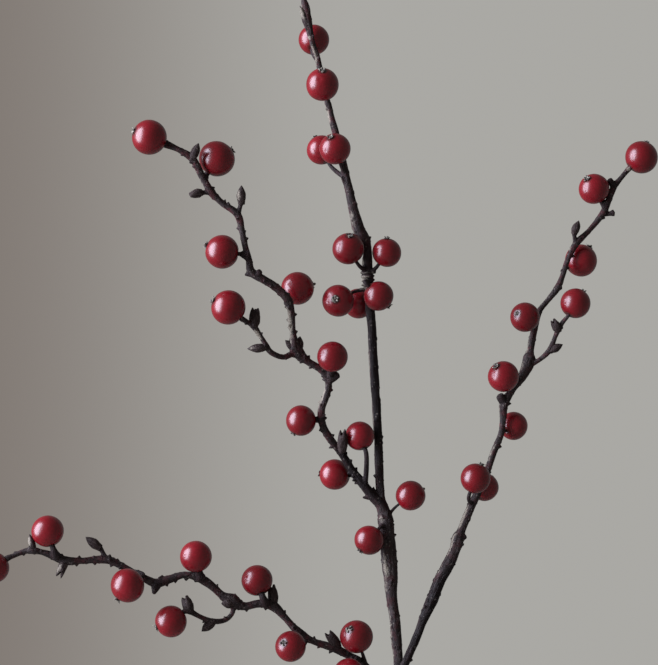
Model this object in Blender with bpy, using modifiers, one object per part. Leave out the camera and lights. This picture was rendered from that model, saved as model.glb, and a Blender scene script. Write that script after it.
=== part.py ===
"""Winterberry branches standing in a small round pottery vase.

Three cut branches cross in the vase's neck. Each branch is one grown piece with its side shoots,
buds and berry stalks, and every berry is a fruit of its own at the end of its stalk.

Blender 4.5, metres, +Z up. The vase's foot stands on z = 0 with its middle at the origin, and the
arrangement faces -Y. The lists below are in millimetres: x, y, z of a point, then a thickness.
"""

import math

import bmesh
import bpy
from mathutils import Vector

OBJECT_NAME = "winterberry_branches_in_vase"
MM = 0.001
WELD = 0.00001

# The vase's outline, as radius and height in millimetres. It runs up the inside, over the lip and
# down the outside. An arc has two ends with two corners between them that pull it.
FLOOR = [(0, 4.5), (26, 4.5)]
INNER_BELLY_ARC = ((26, 4.5), (34, 6.5), (44, 26), (44, 54))
INNER_SHOULDER_ARC = ((44, 54), (44, 95.5), (10.5, 100.5), (10.5, 137))
LIP = [
    (11.3, 144),
    (13, 148.8),
    (14.2, 150),
    (16.3, 150),
    (17.5, 148.8),
    (17.2, 146.5),
    (15.1, 143),
    (14.5, 137),
]
OUTER_SHOULDER_ARC = ((14.5, 137), (14.5, 100.5), (48, 97.5), (48, 54))
OUTER_BELLY_ARC = ((48, 54), (48, 24), (39, 6), (31, 1))
FOOT = [(30, 0), (0, 0)]
SHOULDER_POINTS = 7
BELLY_POINTS = 5
VASE_STEPS = 28

# Berries, in shares of the berry's radius
CALYX_TIP = 1.07
CALYX_EDGE = 1.05
CALYX_HALF_WIDTH = 0.12
DIMPLE_DEPTH = 0.10
DIMPLE_EDGE_DEPTH = 0.08
DIMPLE_HALF_WIDTH = 0.19
BERRY_ANGLES = (14, 42, 68, 94, 120, 146, 164)
BERRY_STEPS = 10

# Stalks and buds, in millimetres
STALK_AT_BRANCH = 1.7
STALK_AT_BERRY = 1.2
STALK_POINTS = 3
STALK_BEND = 2.5
STALK_STRAIGHT = 1.0
SEAT_GAP = 0.3
BUD_SIDES = 6
BUD_RINGS = 5
BUD_TAPER = 0.35
BRANCH_ROUNDNESS = 2
STALK_ROUNDNESS = 1

# The centre branch: its stem from the foot to the tip, and the crooked limb that forks from it
CENTRE_STEM = [
    (14, 15, 5.2, 3.2),
    (11.5, 12, 45, 3.1),
    (8, 8, 85, 3.0),
    (4.5, 4.8, 115, 2.9),
    (2, 3.6, 138, 2.9),
    (1, 3.5, 150, 2.9),
    (-0.5, 3.5, 166, 2.9),
    (-1, 3.5, 172.5, 3.1),
    (-1.5, 3, 179, 3.2),
    (-2.5, 3, 185.5, 3.2),
    (-3, 3, 192, 3.9),
    (-3.2, 3, 195.5, 4.9),
    (-3.5, 3, 198.5, 5.0),
    (-4, 3, 205, 5.0),
    (-4.5, 3, 211.5, 5.2),
    (-5.2, 3, 215, 3.9),
    (-6, 3, 218.5, 2.9),
    (-6.5, 3, 224.5, 2.6),
    (-7, 2.5, 237.5, 2.6),
    (-7.7, 2, 250.5, 2.7),
    (-8.5, 2, 263.5, 2.6),
    (-9, 1.5, 273, 2.6),
    (-9.5, 1.5, 279.5, 2.9),
    (-10, 1.5, 286, 3.2),
    (-10.5, 1, 292, 3.6),
    (-10.5, 1, 295.5, 3.2),
    (-10.5, 1, 299, 2.7),
    (-11.5, 1, 302, 3.9),
    (-13.3, 1, 305.5, 3.6),
    (-15, 0.5, 312, 2.9),
    (-16.5, 0.5, 318.5, 2.6),
    (-18.5, 0, 327.5, 2.3),
    (-21, -0.5, 337.5, 2.1),
    (-23.5, -1, 347, 1.9),
    (-26.5, -1, 360, 1.9),
    (-28.5, -1.5, 366.5, 2.1),
    (-29.7, -2, 373, 2.6),
    (-31, -2, 379.5, 1.9),
    (-32.2, -2.5, 388, 1.8),
    (-33, -2.5, 392.5, 2.3),
    (-33.5, -3, 401, 1.7),
    (-34.8, -3.5, 405, 2.1),
    (-35.5, -3.5, 412, 1.5),
]
CENTRE_LIMB = [
    (-5, 3, 213, 3.9),
    (-6.2, 2.5, 216.5, 3.6),
    (-9, 2, 219.5, 3.2),
    (-12, 1.5, 223.5, 3.1),
    (-15.5, 1, 228, 2.9),
    (-19, 0, 233.5, 2.9),
    (-22.5, -1, 238, 2.9),
    (-25, -2, 243, 2.9),
    (-25.3, -3, 247.5, 2.9),
    (-24, -4, 251.5, 2.7),
    (-23, -5, 256, 2.7),
    (-25, -6, 260, 2.9),
    (-29.5, -7, 263, 2.9),
    (-33.5, -8, 267, 4.2),
    (-34.3, -9, 271.5, 2.6),
    (-34.7, -10, 275.5, 2.5),
    (-35.7, -11.5, 282, 2.7),
    (-39, -12.5, 286, 2.5),
    (-43.5, -13.5, 289, 2.5),
    (-47.5, -14, 291.5, 3.2),
    (-48.3, -15, 295.5, 2.4),
    (-49.5, -16, 300, 2.2),
    (-50.5, -17, 305, 2.2),
    (-51.7, -18, 309.5, 2.8),
    (-56.5, -19, 313, 2.2),
    (-60, -20, 316.5, 2.8),
    (-62, -21, 320, 2.0),
    (-64.5, -23, 325, 1.9),
    (-66, -23.5, 327, 2.5),
    (-70, -24.5, 329.5, 1.7),
]
CENTRE_TWIG = [
    (-34, -8, 265.8, 1.8),
    (-37.5, -10, 264.5, 1.6),
    (-41.5, -12, 266.2, 1.6),
    (-42.7, -13, 268, 1.9),
    (-44.5, -14, 271, 1.6),
    (-46.8, -15.5, 274.3, 2.1),
    (-48.5, -16.7, 275.5, 1.6),
]

# The right branch and its side twig
RIGHT_STEM = [
    (-35.5, 2, 18.5, 2.9),
    (-29, 1.5, 52, 2.8),
    (-21.5, 1, 82, 2.6),
    (-15, 0.8, 105, 2.5),
    (-9.6, 0.4, 124, 2.4),
    (-6.9, 0.2, 138, 2.4),
    (-4, 0.2, 150, 2.3),
    (1.5, 0.5, 165, 2.3),
    (5, 1, 173, 2.5),
    (7.5, 1, 179.5, 2.7),
    (10.5, 1.5, 186, 3.1),
    (13, 2, 192.5, 3.0),
    (14.7, 2, 195.5, 3.7),
    (16.2, 2.5, 198.5, 3.4),
    (17.8, 2.5, 202, 3.2),
    (19.7, 3.5, 207, 3.8),
    (20.6, 3.7, 209.5, 2.8),
    (21.5, 4, 212, 2.9),
    (24.5, 5, 218.5, 2.8),
    (28, 5.5, 226, 2.6),
    (30.5, 6.5, 233, 2.4),
    (33, 7.5, 239, 2.3),
    (33.8, 8, 244, 2.4),
    (34.3, 9, 249.5, 3.3),
    (37, 10, 253.5, 2.6),
    (40.3, 11, 258, 2.6),
    (42.8, 12, 263.5, 3.8),
    (43.5, 13, 269, 2.6),
    (44.5, 13.5, 273.5, 2.3),
    (46.3, 14.5, 279.5, 2.3),
    (48.5, 15, 282.3, 2.1),
    (52.2, 15.5, 287, 2.6),
    (54, 16.5, 291, 2.1),
    (55.8, 17, 296.5, 2.1),
    (58.5, 18, 301.5, 2.6),
    (63.5, 19, 306.5, 2.0),
    (68, 20.5, 312.3, 2.3),
    (70.6, 22, 318, 1.8),
    (71.8, 22.5, 321, 2.3),
    (73.5, 23, 323, 1.8),
]
RIGHT_TWIG = [
    (42.8, 12, 261.5, 2.0),
    (46.3, 10, 263.7, 1.6),
    (49, 8, 266.7, 2.0),
    (50.8, 7.5, 271, 1.6),
    (51.8, 7, 273.5, 2.0),
    (53, 6.5, 275.5, 1.6),
]

# The low branch on the left and its side twig
LOW_STEM = [
    (22, -13, 5.4, 3.0),
    (17, -10, 45, 2.9),
    (9, -7.5, 90, 2.8),
    (1, -5.5, 120, 2.8),
    (-3.8, -4.8, 138, 2.8),
    (-6.8, -5.6, 149, 2.8),
    (-8.2, -7, 157, 2.8),
    (-9.7, -8.3, 163.5, 2.8),
    (-12.5, -9, 167, 2.7),
    (-16.5, -9.5, 169.3, 2.7),
    (-20.5, -10.5, 171.5, 3.2),
    (-28.5, -11.5, 174.5, 2.5),
    (-33, -12.5, 177.7, 2.5),
    (-37, -13, 182, 2.5),
    (-40.5, -13.5, 185.5, 3.2),
    (-45, -14.5, 186.5, 2.7),
    (-50, -15.5, 185.7, 2.7),
    (-53.5, -15.9, 187, 3.6),
    (-56.5, -16.5, 189.2, 2.6),
    (-59, -17, 191.5, 2.5),
    (-63, -18, 194.5, 2.8),
    (-68, -19, 196, 2.2),
    (-73.5, -20, 194.6, 2.4),
    (-77.5, -21, 193.7, 2.8),
    (-82.5, -22, 196.2, 2.2),
    (-88, -23, 199.3, 2.2),
    (-92.5, -24, 201.3, 2.7),
    (-100, -25.5, 201, 2.2),
    (-105, -26.5, 201.2, 2.5),
    (-110, -27.5, 203.2, 2.5),
    (-112.5, -28, 204, 1.9),
    (-115, -28.5, 204.5, 2.5),
    (-117.3, -28.5, 204.3, 1.9),
    (-121.3, -29.5, 202.8, 1.7),
]
LOW_TWIG = [
    (-54, -16, 187, 2.2),
    (-53.2, -16.5, 184.5, 1.7),
    (-55, -17.5, 182, 1.6),
    (-59, -20, 181.5, 1.9),
    (-63.5, -22, 183.3, 1.6),
    (-66, -23, 184.7, 1.9),
]

# Buds, stubs and knobs: foot on the branch, tip, thickness
CENTRE_BUDS = [
    ((-8.5, 2.5, 219), (-12, 1.5, 219), 2.3),
    ((-7.5, 2.5, 218), (-8.5, 2, 222.5), 1.6),
    ((-18.7, -0.8, 232.6), (-18.4, -5.5, 240.5), 3.2),
    ((-23, -5.5, 257), (-20, -6, 259), 2.9),
    ((-33.5, -8, 266.5), (-36.5, -9, 270), 2.6),
    ((-33, -8, 266.5), (-32, -7, 271.5), 2.3),
    ((-47.5, -14, 291), (-50, -14, 290), 1.9),
    ((-46, -14, 290.5), (-44.3, -15, 292.3), 1.9),
    ((-51.5, -18, 309.3), (-50.5, -19, 313.5), 1.3),
    ((-50.5, -18.5, 312.7), (-50.5, -20, 318.5), 2.9),
    ((-60.3, -20, 316.2), (-63.2, -20.3, 316.3), 1.4),
    ((-62.7, -20.2, 316.3), (-66.6, -21, 315.7), 3.0),
    ((-66, -23.5, 326.5), (-63.2, -26, 331), 2.9),
    ((-42.7, -13, 267.7), (-48.5, -14, 266.7), 2.9),
    ((-46.7, -15.5, 274), (-46, -14.5, 279.8), 3.7),
    ((-30, -2, 370.8), (-32.1, -2.8, 376.3), 1.9),
    ((-29.8, -1.8, 372), (-29.3, -2.7, 378.5), 1.9),
    ((-17.5, 0.3, 320), (-19, -0.7, 322.5), 1.6),
    ((-33.5, -2.7, 401), (-31.7, -3.2, 406), 2.2),
]
RIGHT_BUDS = [
    ((72, 22.5, 320.3), (69.3, 21.5, 323.7), 2.5),
    ((68, 20.5, 312), (72, 20.5, 311.8), 2.5),
    ((58.3, 18, 301.5), (57.8, 17, 305.5), 1.3),
    ((57.8, 17.2, 304.7), (59, 16, 309), 2.8),
    ((52, 15.5, 286.7), (54.5, 15.2, 287.7), 1.9),
    ((34.3, 9, 249.5), (32.6, 8, 251.8), 3.0),
    ((20, 3.3, 206.5), (22.3, 3, 208), 2.6),
    ((49, 8.3, 266.3), (53, 7, 268.3), 2.8),
    ((51.8, 7, 273), (51.1, 5.5, 277.2), 3.1),
]
LOW_BUDS = [
    ((-114.7, -28.5, 204.3), (-115.8, -29.3, 209.5), 2.2),
    ((-105, -26.5, 201.3), (-107.5, -27.5, 196.5), 2.9),
    ((-92.5, -24, 201.5), (-94.5, -24, 205), 1.3),
    ((-94.2, -24, 204.6), (-98.9, -24.5, 208.4), 3.2),
    ((-77.5, -21, 193.7), (-77.3, -21, 190.7), 2.2),
    ((-52.7, -16, 187.2), (-56.8, -17.2, 186.6), 3.8),
    ((-40.5, -13.5, 186), (-41, -12.5, 192), 3.0),
    ((-19.9, -10.5, 172), (-23, -11.2, 177.2), 3.0),
    ((-59, -20, 181.7), (-62.8, -21, 178.5), 3.1),
    ((-66.3, -23.2, 184.7), (-68.4, -22.5, 189.5), 3.5),
]

# Berries: middle, width, way its calyx faces, where its stalk leaves the branch.
# A berry at the end of a shoot has no stalk of its own: the named shoot runs on into it.
CENTRE_BERRIES = [
    ((-10, -2, 205.5), 9.5, (-0.62, -0.3, -0.7), (-4.3, 3, 209.5)),
    ((3.5, 3, 219.5), 9.7, (0.8, 0, 0.6), (-4.8, 3, 211.2)),
    ((-13.3, 7.5, 281.7), 9.8, (-0.5, 0.8, -0.35), (-10, 1.5, 287)),
    ((-7, -5.1, 284), 9.6, (0.7, 0.25, -0.67), (-10.2, 1.3, 288.5)),
    ((-20, -3.5, 282.5), 10.3, (-0.17, -0.98, 0.08), (-10.3, 1.2, 289.5)),
    ((-4.3, -2, 298), 9.4, (0, -0.2, 0.98), (-10.5, 1, 291.5)),
    ((-16.7, -3.5, 299.2), 10.3, (0.07, -0.6, 0.8), (-10.5, 1, 292.5)),
    ((-21, -6.7, 331), 10.0, (-0.28, -0.65, 0.7), (-17.7, 0, 323.5)),
    ((-25.3, 4.5, 331.5), 9.7, (-0.45, 0.3, 0.85), (-17.4, 0.2, 322)),
    ((-25, -7.8, 351.5), 10.5, (0, -0.6, 0.8), (-24, -1, 349)),
    ((-27.8, 5, 367.3), 9.9, (0.1, 0.75, 0.65), (-26.5, -1, 360)),
    ((-39.7, -4.5, 398.5), 9.6, (-0.6, -0.4, 0.7), (-33, -2.5, 392)),
    ((-29.2, 2.5, 400), 9.8, (0.5, 0.5, 0.7), (-32.8, -2.5, 391)),
    ((-36.5, -4, 419.5), 9.8, (-0.1, -0.1, 0.99), "stem"),
]
LIMB_BERRIES = [
    ((-21, 5, 226.2), 10.0, (-0.95, 0.25, 0.05), (-14.3, 1.2, 226.5)),
    ((-13, -1, 239), 9.4, (-0.2, 0.35, 0.91), (-12.3, 1.5, 223.8)),
    ((-31.9, -2.5, 244), 9.8, (-0.8, -0.3, -0.5), (-25.1, -2.3, 244.5)),
    ((-21.2, -10.5, 264.3), 9.8, (-0.1, 0.4, 0.9), (-22.5, -5.7, 257.8)),
    ((-33, -3, 286.5), 10.6, (0.9, 0.1, 0.4), (-35.5, -11.3, 281)),
    ((-54.6, -18.5, 280.2), 10.9, (-0.86, -0.2, 0.46), "twig"),
    ((-56.7, -16, 297.8), 10.7, (-0.91, -0.1, 0.4), (-48.7, -15.3, 296.8)),
    ((-58.2, -18.8, 327.3), 11.1, (0.75, 0.2, 0.6), (-62.7, -21.6, 321.5)),
    ((-79, -25, 333.3), 11.1, (-0.93, 0, 0.37), "limb"),
]
RIGHT_BERRIES = [
    ((28, 11.5, 221.7), 9.2, (0.5, 0.5, 0.7), (22, 4.2, 213)),
    ((24.3, -0.8, 225.3), 9.7, (0.42, 0.05, 0.9), (22.6, 4.3, 214.5)),
    ((37.6, 13.2, 241.7), 9.3, (0.6, 0.7, 0.3), (33.5, 7.8, 241.5)),
    ((33.7, 5, 258), 10.1, (-0.5, -0.55, 0.65), (37, 10, 253.7)),
    ((41, 9, 277.3), 9.6, (-0.6, -0.75, 0.25), (45.2, 14, 275.7)),
    ((57.2, 6, 281.8), 9.8, (0.5, 0.3, 0.79), "twig"),
    ((60.7, 23, 296.2), 10.7, (0.5, 0.2, 0.83), (54.5, 16.6, 292.5)),
    ((64.7, 20.3, 319.8), 10.1, (-0.6, -0.4, 0.65), (68.6, 20.7, 313.7)),
    ((80.9, 24, 330.5), 10.8, (0.62, 0.08, 0.78), "stem"),
]
LOW_BERRIES = [
    ((-16.6, -15.3, 164.2), 10.1, (-0.4, -0.5, -0.77), (-13.5, -9.2, 167.7)),
    ((-14.2, -13.2, 175.8), 10.6, (-0.43, -0.72, 0.54), (-10.8, -8.7, 165.5)),
    ((-35, -17.7, 173.3), 9.8, (-0.46, -0.82, 0.34), (-30, -12, 175.5)),
    ((-45.7, -14.5, 194), 9.6, (-0.1, 0.4, 0.91), (-44.3, -14.3, 186.3)),
    ((-72.3, -24.5, 182), 10.0, (-0.9, -0.2, -0.38), "twig"),
    ((-64.8, -19.3, 201.8), 10.1, (-0.2, 0.45, 0.87), (-63, -18, 194.7)),
    ((-85.6, -28.2, 193.6), 10.6, (-0.56, -0.1, -0.82), (-84.5, -22.3, 197.3)),
    ((-110.6, -28.5, 210.7), 10.0, (-0.2, 0.25, 0.94), (-108.7, -27.2, 202.7)),
    ((-127.3, -30.5, 199.4), 9.3, (-0.8, -0.1, -0.55), "stem"),
]

# What each branch is grown from: name, its shoots by name, its buds, and its berries by family
BRANCHES = [
    (
        "centre_branch",
        {"stem": CENTRE_STEM, "limb": CENTRE_LIMB, "twig": CENTRE_TWIG},
        CENTRE_BUDS,
        {"centre_berry": CENTRE_BERRIES, "limb_berry": LIMB_BERRIES},
    ),
    (
        "right_branch",
        {"stem": RIGHT_STEM, "twig": RIGHT_TWIG},
        RIGHT_BUDS,
        {"right_berry": RIGHT_BERRIES},
    ),
    (
        "low_branch",
        {"stem": LOW_STEM, "twig": LOW_TWIG},
        LOW_BUDS,
        {"low_berry": LOW_BERRIES},
    ),
]

# Colour, roughness of the surfaces
CLAY = ((0.42, 0.40, 0.37), 0.75)
BARK = ((0.035, 0.026, 0.026), 0.7)
SKIN = ((0.28, 0.012, 0.02), 0.22)


def clear_scene():
    for item in list(bpy.data.objects):
        bpy.data.objects.remove(item, do_unlink=True)


def new_collection(name):
    collection = bpy.data.collections.new(name)
    bpy.context.scene.collection.children.link(collection)
    return collection


def plain_material(name, colour, roughness):
    material = bpy.data.materials.new(name)
    material.use_nodes = True
    shader = material.node_tree.nodes["Principled BSDF"]
    shader.inputs["Base Color"].default_value = (*colour, 1.0)
    shader.inputs["Roughness"].default_value = roughness
    shader.inputs["Metallic"].default_value = 0.0
    material.diffuse_color = (*colour, 1.0)
    return material


def add_object(name, mesh, collection):
    item = bpy.data.objects.new(name, mesh)
    collection.objects.link(item)
    return item


def bezier(start, leave, arrive, end, count):
    """Points on a cubic arc, without its first point."""
    found = []
    for step in range(1, count + 1):
        t = step / count
        s = 1.0 - t
        weights = (s**3, 3 * s * s * t, 3 * s * t * t, t**3)
        corners = (start, leave, arrive, end)
        found.append(tuple(sum(w * c[k] for w, c in zip(weights, corners)) for k in range(2)))
    return found


def turned(name, profile, steps, collection):
    """A solid turned about Z from (radius, height) points in metres."""
    mesh = bpy.data.meshes.new(name)
    points = [(radius, 0.0, height) for radius, height in profile]
    edges = [(i, i + 1) for i in range(len(points) - 1)]
    mesh.from_pydata(points, edges, [])
    item = add_object(name, mesh, collection)
    screw = item.modifiers.new("turn", "SCREW")
    screw.axis = "Z"
    screw.steps = steps
    screw.render_steps = steps
    screw.use_merge_vertices = True
    screw.merge_threshold = WELD
    screw.use_smooth_shade = False
    return item


def build_vase(collection):
    profile = list(FLOOR)
    profile += bezier(*INNER_BELLY_ARC, BELLY_POINTS)
    profile += bezier(*INNER_SHOULDER_ARC, SHOULDER_POINTS)
    profile += LIP
    profile += bezier(*OUTER_SHOULDER_ARC, SHOULDER_POINTS)
    profile += bezier(*OUTER_BELLY_ARC, BELLY_POINTS)
    profile += FOOT
    profile = [(radius * MM, height * MM) for radius, height in profile]
    return turned("vase", profile, VASE_STEPS, collection)


def berry_profile(radius):
    """Down the outside: calyx, skin, then the dimple that the stalk sits in."""
    points = [(0.0, CALYX_TIP), (CALYX_HALF_WIDTH, CALYX_EDGE)]
    for angle in BERRY_ANGLES:
        turn = math.radians(angle)
        points.append((math.sin(turn), math.cos(turn)))
    points.append((DIMPLE_HALF_WIDTH, DIMPLE_EDGE_DEPTH - 1.0))
    points.append((0.0, DIMPLE_DEPTH - 1.0))
    return [(x * radius * MM, z * radius * MM) for x, z in points]


def build_berry(name, middle, width, facing, collection):
    item = turned(name, berry_profile(width / 2), BERRY_STEPS, collection)
    item.location = Vector(middle) * MM
    item.rotation_mode = "QUATERNION"
    item.rotation_quaternion = Vector(facing).to_track_quat("Z", "Y")
    return item


def stalk_end(middle, width, facing):
    """The straight end of a stalk, into the berry's dimple and just clear of its skin."""
    axis = Vector(facing).normalized()
    tip = Vector(middle) - axis * (width / 2 * (1.0 - DIMPLE_DEPTH) + SEAT_GAP)
    return [(*(tip - axis * STALK_STRAIGHT), STALK_AT_BERRY), (*tip, STALK_AT_BERRY)]


def stalk_route(middle, width, facing, foot):
    """A stalk leaves the branch and bends round to meet the berry along the berry's axis."""
    end = stalk_end(middle, width, facing)
    arrive = Vector(end[0][:3])
    foot = Vector(foot)
    reach = min((arrive - foot).length / 2, STALK_BEND)
    bend = arrive - Vector(facing).normalized() * reach
    route = []
    for step in range(STALK_POINTS):
        t = step / STALK_POINTS
        point = foot * (1 - t) ** 2 + bend * 2 * t * (1 - t) + arrive * t * t
        thickness = STALK_AT_BRANCH + (STALK_AT_BERRY - STALK_AT_BRANCH) * t
        route.append((*point, thickness))
    return route + end


def tube(name, route, roundness, collection):
    """A closed mesh along (x, y, z, thickness) points in millimetres."""
    curve = bpy.data.curves.new(name, "CURVE")
    curve.dimensions = "3D"
    curve.bevel_depth = MM / 2
    curve.bevel_resolution = roundness
    curve.use_fill_caps = True
    spline = curve.splines.new("POLY")
    spline.points.add(len(route) - 1)
    for point, (x, y, z, thickness) in zip(spline.points, route):
        point.co = (x * MM, y * MM, z * MM, 1.0)
        point.radius = thickness
    guide = add_object(name + "_line", curve, collection)
    bpy.context.view_layer.update()
    evaluated = guide.evaluated_get(bpy.context.evaluated_depsgraph_get())
    mesh = bpy.data.meshes.new_from_object(evaluated)
    mesh.name = name
    weld_caps(mesh)
    item = add_object(name, mesh, collection)
    item.matrix_world = guide.matrix_world
    bpy.data.objects.remove(guide)
    return item


def weld_caps(mesh):
    shape = bmesh.new()
    shape.from_mesh(mesh)
    bmesh.ops.remove_doubles(shape, verts=shape.verts, dist=WELD / 10)
    bmesh.ops.recalc_face_normals(shape, faces=shape.faces)
    shape.to_mesh(mesh)
    shape.free()


def build_bud(name, foot, tip, thickness, collection):
    """A small egg shape that narrows toward its tip."""
    foot = Vector(foot) * MM
    tip = Vector(tip) * MM
    shape = bmesh.new()
    bmesh.ops.create_uvsphere(shape, u_segments=BUD_SIDES, v_segments=BUD_RINGS, radius=1.0)
    for vertex in shape.verts:
        narrow = 1.0 - BUD_TAPER * max(vertex.co.z, 0.0)
        vertex.co.x *= narrow * thickness * MM / 2
        vertex.co.y *= narrow * thickness * MM / 2
        vertex.co.z *= (tip - foot).length / 2
    mesh = bpy.data.meshes.new(name)
    shape.to_mesh(mesh)
    shape.free()
    item = add_object(name, mesh, collection)
    item.location = (foot + tip) / 2
    item.rotation_mode = "QUATERNION"
    item.rotation_quaternion = (tip - foot).to_track_quat("Z", "Y")
    return item


def build_branch(name, shoots, buds, families, collection, guides):
    """Joins the shoots, buds and berry stalks of one branch into one solid."""
    growth = bpy.data.collections.new(name + "_growth")
    guides.children.link(growth)
    routes = {key: list(route) for key, route in shoots.items()}
    stalks = []
    for berries in families.values():
        for middle, width, facing, foot in berries:
            if isinstance(foot, str):
                routes[foot] += stalk_end(middle, width, facing)
            else:
                stalks.append(stalk_route(middle, width, facing, foot))
    branch = tube(name, routes.pop("stem"), BRANCH_ROUNDNESS, collection)
    for key, route in routes.items():
        tube(f"{name}_{key}", route, BRANCH_ROUNDNESS, growth)
    for number, route in enumerate(stalks, 1):
        tube(f"{name}_stalk_{number:02d}", route, STALK_ROUNDNESS, growth)
    for number, (foot, tip, thickness) in enumerate(buds, 1):
        build_bud(f"{name}_bud_{number:02d}", foot, tip, thickness, growth)
    for item in growth.objects:
        item.hide_render = True
        item.display_type = "WIRE"
    union = branch.modifiers.new("grown_together", "BOOLEAN")
    union.operation = "UNION"
    union.solver = "EXACT"
    union.operand_type = "COLLECTION"
    union.collection = growth
    return branch


def main():
    clear_scene()
    parts = new_collection(OBJECT_NAME)
    guides = new_collection("shoots_and_buds")
    guides.hide_render = True
    clay = plain_material("clay", *CLAY)
    bark = plain_material("bark", *BARK)
    skin = plain_material("berry_skin", *SKIN)
    build_vase(parts).data.materials.append(clay)
    for name, shoots, buds, families in BRANCHES:
        branch = build_branch(name, shoots, buds, families, parts, guides)
        branch.data.materials.append(bark)
        for family, berries in families.items():
            for number, (middle, width, facing, _) in enumerate(berries, 1):
                berry = build_berry(f"{family}_{number:02d}", middle, width, facing, parts)
                berry.data.materials.append(skin)


main()
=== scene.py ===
"""Looks of the winterberry branches in a vase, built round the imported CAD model.

Every branch and berry, and the vase, is a fine piece that stands for the CAD node of its name. The
lists follow those of the CAD source, in millimetres: x, y, z of a point, then a thickness. They
differ from it a little in some thicknesses and in how some stalks and calyxes point.
"""

import math
import random

import bpy
import numpy as np
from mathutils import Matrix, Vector, kdtree, noise


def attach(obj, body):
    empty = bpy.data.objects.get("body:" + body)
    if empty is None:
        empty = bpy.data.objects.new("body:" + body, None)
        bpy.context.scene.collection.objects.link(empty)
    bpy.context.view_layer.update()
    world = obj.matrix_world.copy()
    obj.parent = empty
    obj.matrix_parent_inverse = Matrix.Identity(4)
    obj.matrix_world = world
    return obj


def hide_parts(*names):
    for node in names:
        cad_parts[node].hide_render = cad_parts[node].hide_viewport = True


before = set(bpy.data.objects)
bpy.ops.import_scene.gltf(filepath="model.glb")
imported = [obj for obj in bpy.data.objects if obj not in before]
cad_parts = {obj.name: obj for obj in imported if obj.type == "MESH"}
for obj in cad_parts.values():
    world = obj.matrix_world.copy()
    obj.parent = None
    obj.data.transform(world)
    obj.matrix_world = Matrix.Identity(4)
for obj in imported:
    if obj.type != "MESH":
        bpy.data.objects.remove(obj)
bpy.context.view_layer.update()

MM = 0.001
MOST_TRIANGLES = 190000

CENTRE_STEM = [
    (14, 15, 5.2, 3.2), (11.5, 12, 45, 3.1), (8, 8, 85, 3), (4.5, 4.8, 115, 2.9),
    (2, 3.6, 138, 2.9), (1, 3.5, 150, 2.9), (-0.5, 3.5, 166, 3.19), (-1, 3.5, 172.5, 3.41),
    (-1.5, 3, 179, 3.52), (-2.5, 3, 185.5, 3.52), (-3, 3, 192, 4.29), (-3.2, 3, 195.5, 4.9),
    (-3.5, 3, 198.5, 5), (-4, 3, 205, 5), (-4.5, 3, 211.5, 5.2), (-5.2, 3, 215, 3.9),
    (-6, 3, 218.5, 2.9), (-6.5, 3, 224.5, 2.81), (-7, 2.5, 237.5, 2.81), (-7.7, 2, 250.5, 2.92),
    (-8.5, 2, 263.5, 3), (-9, 1.5, 273, 2.81), (-9.5, 1.5, 279.5, 3.13), (-10, 1.5, 286, 3.2),
    (-10.5, 1, 292, 3.6), (-10.5, 1, 295.5, 3.2), (-10.5, 1, 299, 2.7), (-11.5, 1, 302, 3.9),
    (-13.3, 1, 305.5, 3.89), (-15, 0.5, 312, 3.13), (-16.5, 0.5, 318.5, 2.81),
    (-18.5, 0, 327.5, 2.48), (-21, -0.5, 337.5, 2.27), (-23.5, -1, 347, 2.05),
    (-26.5, -1, 360, 2.05), (-28.5, -1.5, 366.5, 2.1), (-29.7, -2, 373, 2.6), (-31, -2, 379.5, 1.9),
    (-32.2, -2.5, 388, 1.8), (-33, -2.5, 392.5, 2.3), (-33.5, -3, 401, 1.7),
    (-34.8, -3.5, 405, 2.1), (-35.5, -3.5, 412, 1.5),
]
CENTRE_LIMB = [
    (-5, 3, 213, 3.9), (-6.2, 2.5, 216.5, 3.6), (-9, 2, 219.5, 3.2), (-12, 1.5, 223.5, 3.1),
    (-15.5, 1, 228, 2.49), (-19, 0, 233.5, 2.49), (-22.5, -1, 238, 2.49), (-25, -2, 243, 2.49),
    (-25.3, -3, 247.5, 2.49), (-24, -4, 251.5, 2.32), (-23, -5, 256, 2.32), (-25, -6, 260, 2.49),
    (-29.5, -7, 263, 2.49), (-33.5, -8, 267, 4.2), (-34.3, -9, 271.5, 2.34),
    (-34.7, -10, 275.5, 2.25), (-35.7, -11.5, 282, 2.8), (-39, -12.5, 286, 2.6),
    (-43.5, -13.5, 289, 2.6), (-47.5, -14, 291.5, 2.9), (-48.3, -15, 295.5, 2.2),
    (-49.5, -16, 300, 2.05), (-50.5, -17, 305, 2.05), (-51.7, -18, 309.5, 2.5),
    (-56.5, -19, 313, 2), (-60, -20, 316.5, 2.45), (-62, -21, 320, 2.25), (-64.5, -23, 325, 2.35),
    (-66, -23.5, 327, 2.5), (-70, -24.5, 329.5, 1.85),
]
CENTRE_TWIG = [
    (-34, -8, 265.8, 2.1), (-37.5, -10, 264.5, 1.85), (-41.5, -12, 266.2, 1.85),
    (-42.7, -13, 268, 1.9), (-44.5, -14, 271, 1.6), (-46.8, -15.5, 274.3, 2.1),
    (-48.5, -16.7, 275.5, 1.6),
]
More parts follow.
